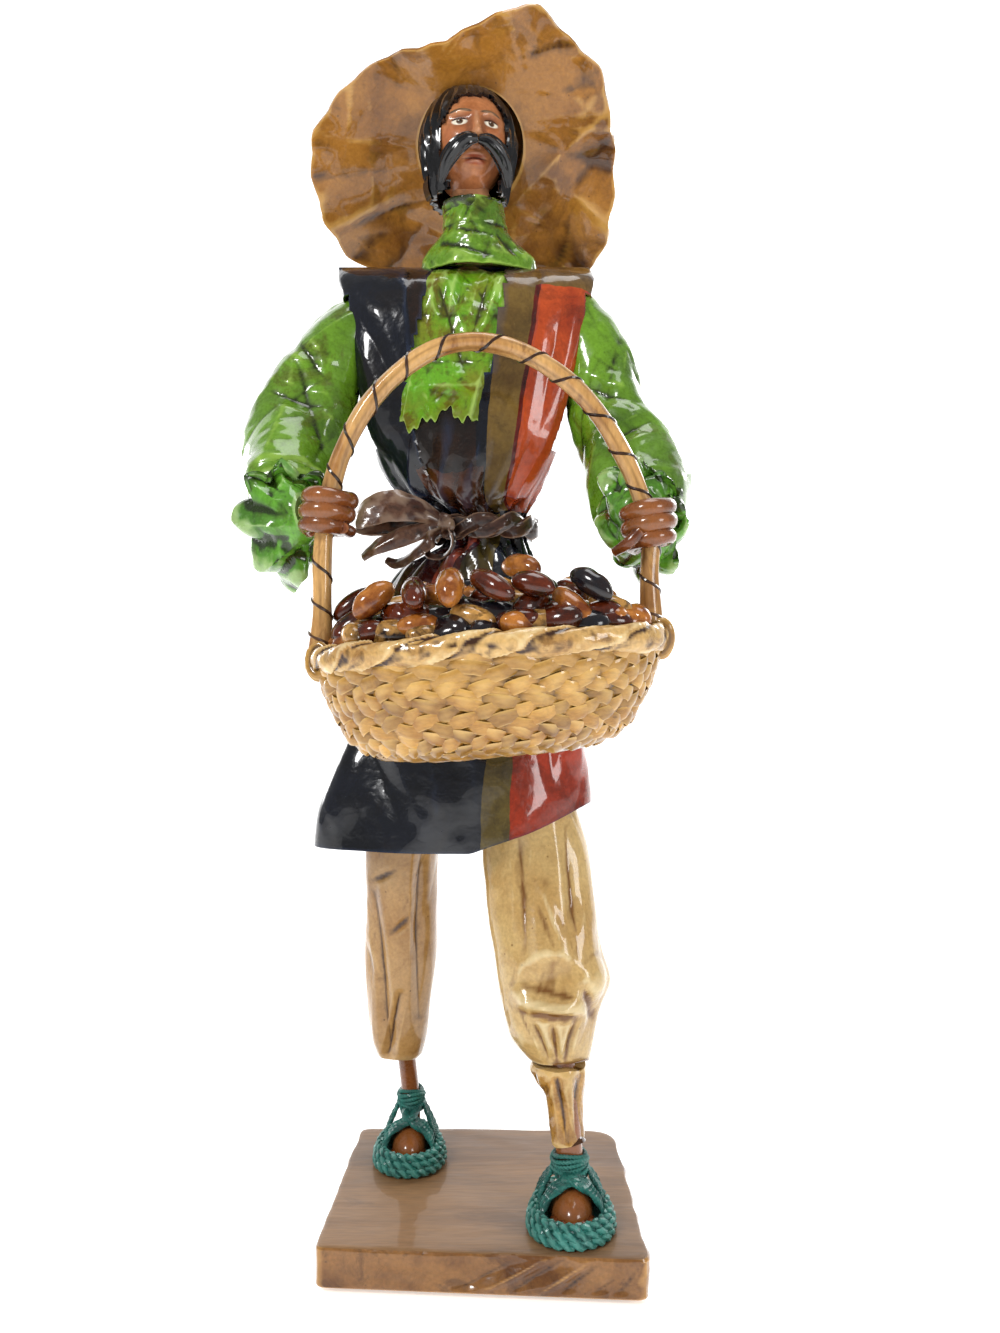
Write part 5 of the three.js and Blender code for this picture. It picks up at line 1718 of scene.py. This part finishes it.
@dataclass
class Beans:
    """The heap: the loose beans of the frame and more of them filling the basket."""

    mound: tuple[float, float, float, float] = (66, 34, 274.5, 22)

    def coats(self) -> list[bpy.types.Material]:
        """One glossy mottled material for each coat."""
        made = []
        for coat in Coat:
            main, mottle, amount = coat.value
            finish = Finish(f"runner_bean_{coat.name.lower()}", main, mottle, mottle, main,
                            patch=16 - 8 * amount, grain=0.7,
                            rough=0.16, wrinkle=0.03, hollow_shading=0.4, crest_highlighting=0.0, stain=mottle,
                            stains=0.1 + amount)
            made.append(finish.material())
        return made

    def bean(self, spot: Vector, along: Vector, length: float, girth: float, kind: int) -> Mesh:
        """A kidney-shaped bean.

        Args:
            spot: its middle.
            along: its long direction.
            length: its half length.
            girth: its half thickness.
            kind: its coat.

        Returns:
            The mesh.
        """
        bm = bmesh.new()
        bm.loops.layers.uv.new("UVMap")
        bmesh.ops.create_uvsphere(bm, u_segments=20, v_segments=14, radius=1)
        p = spots(bm)
        bend = 0.16 * (p[:, 2] ** 2 - 0.4)
        nick = 0.12 * np.exp(-((p[:, 2] / 0.22) ** 2)) * np.clip(p[:, 0], 0, 1)
        shaped = stack((p[:, 0] * (1 - nick) - bend) * girth, p[:, 1] * girth * 0.88, p[:, 2] * length)
        place_spots(bm, shaped)
        turned = Vector((0, 0, 1)).rotation_difference(along) @ Quaternion((0, 0, 1), kind * 1.9 + spot.x)
        bmesh.ops.transform(bm, matrix=Matrix.Translation(spot) @ turned.to_matrix().to_4x4(), verts=bm.verts)
        for face in bm.faces:
            face.material_index = kind
        return bm

    def height(self, x: float, y: float) -> float:
        """The mound's height under the loose beans, from the basket's middle."""
        wide, deep, edge, rise = self.mound
        share = (x / wide) ** 2 + (y / deep) ** 2
        return edge + rise * max(0.0, 1 - share) ** 0.5 + 0.07 * x

    def build(self, frame: dict) -> None:
        """Builds the loose beans at their places and the beans under them.
        """
        coats = self.coats()
        kinds = (0, 1, 3, 2, 0, 1, 3, 1, 0, 2)
        names = sorted(name for name in frame["nodes"] if name.startswith("bean_") and name != "bean_bed")
        for i, name in enumerate(names):
            points = np.array([v.co[:] for v in frame["nodes"][name].data.vertices]) / MM
            middle = (points.max(axis=0) + points.min(axis=0)) / 2
            _, _, ways = np.linalg.svd(points - points.mean(axis=0), full_matrices=False)
            reach = np.abs((points - middle) @ ways.T).max(axis=0)
            bm = self.bean(Vector(middle), Vector(ways[0]), reach[0], reach[1] * 1.05, kinds[i % len(kinds)])
            finish_piece(bm, f"loose_{name}", coats, [name], 60)
        random = np.random.default_rng(21)
        parts = []
        mound = skin(48, 16, lambda u, v: self.mound_point(u, v))
        # the mound takes the dark chestnut coat: painted shade in the gaps between the beans
        for face in mound.faces:
            face.material_index = 1
        parts.append(mound)
        for ring, count in ((0.16, 5), (0.36, 11), (0.56, 16), (0.76, 22), (0.93, 27), (1.0, 28)):
            for k in range(count):
                turn = TAU * (k + random.uniform(-0.25, 0.25)) / count
                x, y = 62.5 * ring * math.cos(turn), 30.5 * ring * math.sin(turn)
                if abs(y) < 6 and abs(x) > 58:
                    continue
                z = self.height(x * 0.97, y * 0.97) + random.uniform(-0.5, 4.0)
                heading = turn + math.pi / 2 + random.uniform(-0.9, 0.9)
                along = Vector((math.cos(heading), math.sin(heading), random.uniform(-0.3, 0.3))).normalized()
                size = random.uniform(1.0, 1.2)
                parts.append(self.bean(Vector((x + 1.2, y - 73, z)), along, 9.4 * size, 6 * size,
                                       int(random.integers(4))))
        finish_piece(gather(parts), "beans_below", coats, ["bean_bed"], 60)

    def mound_point(self, u: Array, v: Array) -> Array:
        """Points of the mound that the beans lie on."""
        share = np.cos(v * math.pi / 2)
        x, y = 64 * share * np.cos(u * TAU), 32 * share * np.sin(u * TAU)
        z = np.array([self.height(a, b) for a, b in zip(x, y)]) - 3
        return stack(x + 1.2, y - 73, z)


# ---------- the studio ----------


@dataclass
class Studio:
    """A pale floor, soft lights and the camera."""

    eye: tuple[float, float, float] = (0.0055, -0.570, 0.2715)
    lens: float = 31.6

    def sheet(self, name: str, matrix: Matrix, glow: float) -> None:
        """A wide sheet of white paper.

        Args:
            name: its name.
            matrix: its place.
            glow: how brightly it is lit from behind.
        """
        bm = bmesh.new()
        bmesh.ops.create_grid(bm, x_segments=1, y_segments=1, size=6, matrix=matrix)
        mesh = bpy.data.meshes.new(name)
        bm.to_mesh(mesh)
        bm.free()
        paper = bpy.data.objects.new(name, mesh)
        bpy.context.collection.objects.link(paper)
        pale = bpy.data.materials.new(f"matt_white_{name}_paper")
        pale.use_nodes = True
        shader = pale.node_tree.nodes["Principled BSDF"]
        shader.inputs["Base Color"].default_value = colour("f4f4f4")
        shader.inputs["Roughness"].default_value = 0.8
        shader.inputs["Emission Color"].default_value = (1, 1, 1, 1)
        shader.inputs["Emission Strength"].default_value = glow
        mesh.materials.append(pale)

    def build(self) -> None:
        """Builds the studio."""
        self.sheet("floor", Matrix.Identity(4), 0.5)
        upright = Matrix.Translation((0, 3.2, 1.5)) @ Matrix.Rotation(math.pi / 2, 4, "X")
        self.sheet("backdrop", upright, 0.95)
        world = bpy.data.worlds.new("studio")
        world.use_nodes = True
        world.node_tree.nodes["Background"].inputs["Color"].default_value = (1, 1, 1, 1)
        world.node_tree.nodes["Background"].inputs["Strength"].default_value = 0.32
        bpy.context.scene.world = world
        bpy.context.scene.view_settings.view_transform = "Standard"
        lamps = (
            ("key", (-0.75, -1.05, 1.1), 0.32, 12),
            ("fill", (0.95, -0.85, 0.55), 0.4, 4.5),
            ("top", (0.15, -0.1, 1.55), 0.6, 5),
            ("rim_right", (0.75, 0.8, 0.8), 0.4, 4),
            ("rim_left", (-0.8, 0.7, 0.5), 0.4, 3),
        )
        for name, spot, size, watts in lamps:
            lamp = bpy.data.lights.new(name, "AREA")
            lamp.shape, lamp.size, lamp.energy = "SQUARE", size, watts
            holder = bpy.data.objects.new(name, lamp)
            holder.location = spot
            aim = Vector((0, 0, 0.3)) - Vector(spot)
            holder.rotation_euler = aim.to_track_quat("-Z", "Y").to_euler()
            bpy.context.collection.objects.link(holder)
        camera = bpy.data.cameras.new("camera")
        camera.lens, camera.sensor_width, camera.clip_start = self.lens, 36, 0.01
        holder = bpy.data.objects.new("camera", camera)
        holder.location = self.eye
        holder.rotation_euler = (math.pi / 2, 0, 0)
        bpy.context.collection.objects.link(holder)
        bpy.context.scene.camera = holder


RIGHT_TROUSER = (
    (74, -46.6, 28, 11, 10), (82, -46.8, 27, 13.6, 13), (101, -47, 25, 15.8, 15), (127, -46.2, 22, 18, 17),
    (153, -45.2, 19, 18.3, 18), (179, -43.4, 15, 19, 17.5), (215, -37, 9, 19, 16), (262, -25, 2, 16, 13),
    (320, -13, 0, 8, 8),
)
LEFT_TROUSER = (
    (88, 34, -25, 13.5, 12.5), (93, 32.6, -25, 16.5, 15), (102, 30.8, -25, 20.5, 19),
    (115.5, 31.2, -24, 24.6, 21.5),
    (125, 32.2, -23.5, 27.2, 22.5), (138.5, 29.3, -22, 26.6, 22), (162, 25, -17, 26.8, 19.5),
    (185, 21.5, -13, 26.3, 17.5), (202, 19.5, -11, 22.5, 16.5), (230, 14, -7, 18, 14),
    (265, 9.5, -3, 13.5, 12), (320, 8, -1, 6, 7),
)
CALF_WRAP = (
    (52.5, 37.3, -30.5, 7.8, 8), (60, 36.6, -29.5, 8.2, 8.4), (72, 35.4, -28, 9.2, 9.4),
    (84, 33.2, -26, 13, 12.5), (87.5, 33.2, -26, 12.4, 12),
)


def build_figure(frame: dict) -> None:
    """Builds every piece of the figure in order.
    """
    Block().build(frame)
    Foot("right", -40.5, 29, 14, 23.5, 0.05, 4.6, (-45.5, 27, 100), 27).build()
    Foot("left", 37.5, -41, 15.5, 25, -0.04, 6.2, (33.5, -26, 96), 23).build()
    TrouserLeg("right", RIGHT_TROUSER, (
        Creases(40, 3.2, 101, 0.28, (1, 1, 2.2)),
        Fold((-58, 160), (-50, 78), 5, 3.4), Fold((-62, 138), (-56, 118), 3, -1.4),
        Fold((-32, 186), (-35, 96), 4.5, 3.0),
        Fold((-44, 108), (-51, 76), 4, 3.2), Fold((-48, 140), (-38, 148), 3, 1.2),
        Fold((-58, 166), (-46, 172), 3, 1.2),
    ), Paper.OCHRE.value).build()
    TrouserLeg("left", LEFT_TROUSER, (
        Creases(46, 3.6, 111, 0.26, (1, 1, 1.5)),
        Dent((29, 130), (15, 12), 3.4, 0.05), Dent((51, 131), (8, 9), -1.6, 0.0),
        Fold((14, 122), (47, 114), 6, -3.4),
        Fold((18, 116), (44, 113), 4, 2.6), Fold((44, 126), (52, 108), 4, 3.0),
        Fold((20, 112), (27, 93), 3.2, 3.0),
        Fold((29, 110), (31, 92), 3.2, 3.0), Fold((40, 110), (36, 93), 3.2, 3.0),
        Fold((13, 120), (22, 96), 4, 2.0),
        Fold((14, 196), (17, 142), 5, 1.6), Fold((36, 196), (42, 140), 5, 2.0),
        Fold((24, 170), (36, 140), 4, -1.4),
    ), Paper.CREAM.value).build()
    TrouserLeg("left", CALF_WRAP, (Creases(13, 1.8, 121, 0.35, (1, 1, 1.8)),
                                   Fold((31, 86), (36, 56), 3, 1.8), Fold((41, 84), (41, 60), 2.5, 1.6)),
               Finish("golden_paper_varnished", "b58740", "8a5f22", "42240a", "e0c284", patch=18, rough=0.26,
                      wrinkle=0.2, hollow_shading=1.0, stain="7a4c18", stains=0.4, specks=0.4),
               "calf_wrap", "calf_wrap", 5, 100, 70).build()
    Tunic().build()
    Shirt().build()
    Sash().build()
    Arm("right", (
        (-50, 0, 437, 12, 12), (-63, -1, 436, 16, 15), (-77, -5, 418, 20, 20), (-86.5, -11, 392, 25, 23),
        (-91.5, -21, 368, 24.5, 23), (-91, -35, 350, 19, 19), (-89, -44, 343, 15, 15),
    ), (
        (-92, -41, 344, 17, 14), (-91, -47, 338, 25, 18), (-88, -55, 334.5, 25.5, 18.5),
        (-83, -61, 335.5, 17, 13), (-77, -64.5, 337, 9, 9),
    ), (Fold((-102, 400), (-74, 392), 6, 3.5), Fold((-90, 425), (-74, 405), 5, 2.5)), 201).build()
    Arm("left", (
        (30, 0, 438, 12, 12), (42, -1, 438, 15, 14), (54, -5, 415, 19.5, 19), (58.5, -12, 386, 21.5, 21),
        (66, -24, 362, 22, 21), (70, -37, 348, 18, 18), (71, -46, 342, 14.5, 14.5),
    ), (
        (72, -42, 344, 16, 14), (69.5, -48, 338, 23.5, 16), (67, -56, 335, 24.5, 17.5),
        (68, -61, 333.5, 17, 13), (70, -65, 333, 10, 9),
    ), (Fold((42, 404), (66, 396), 6, 3.0), Fold((50, 376), (74, 384), 5, 3.0)), 221).build()
    Hand("right", (-68, -73, 338), 11, 8.4, (-73.5, -63.4, 338),
         ((-63.5, -66, 331, 2.4, 2.6), (-58.8, -71, 329, 2.8, 3), (-60.5, -79, 329.5, 2.4, 2.6))).build()
    Hand("left", (68.6, -73, 333), -6, 8.6, (71, -63.4, 333),
         ((64, -82.5, 328, 2.6, 2.8), (59, -82, 323, 2.6, 2.6), (53.5, -78, 319.5, 1.9, 1.9)), 0.6).build()
    Head().build()
    Hat().build()
    Basket().build()
    Beans().build(frame)


def main() -> None:
    """Builds the studio and the figure."""
    logging.basicConfig(level=logging.INFO, format="%(message)s")
    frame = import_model()
    Studio().build()
    build_figure(frame)
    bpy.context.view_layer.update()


if __name__ == "__main__":
    main()
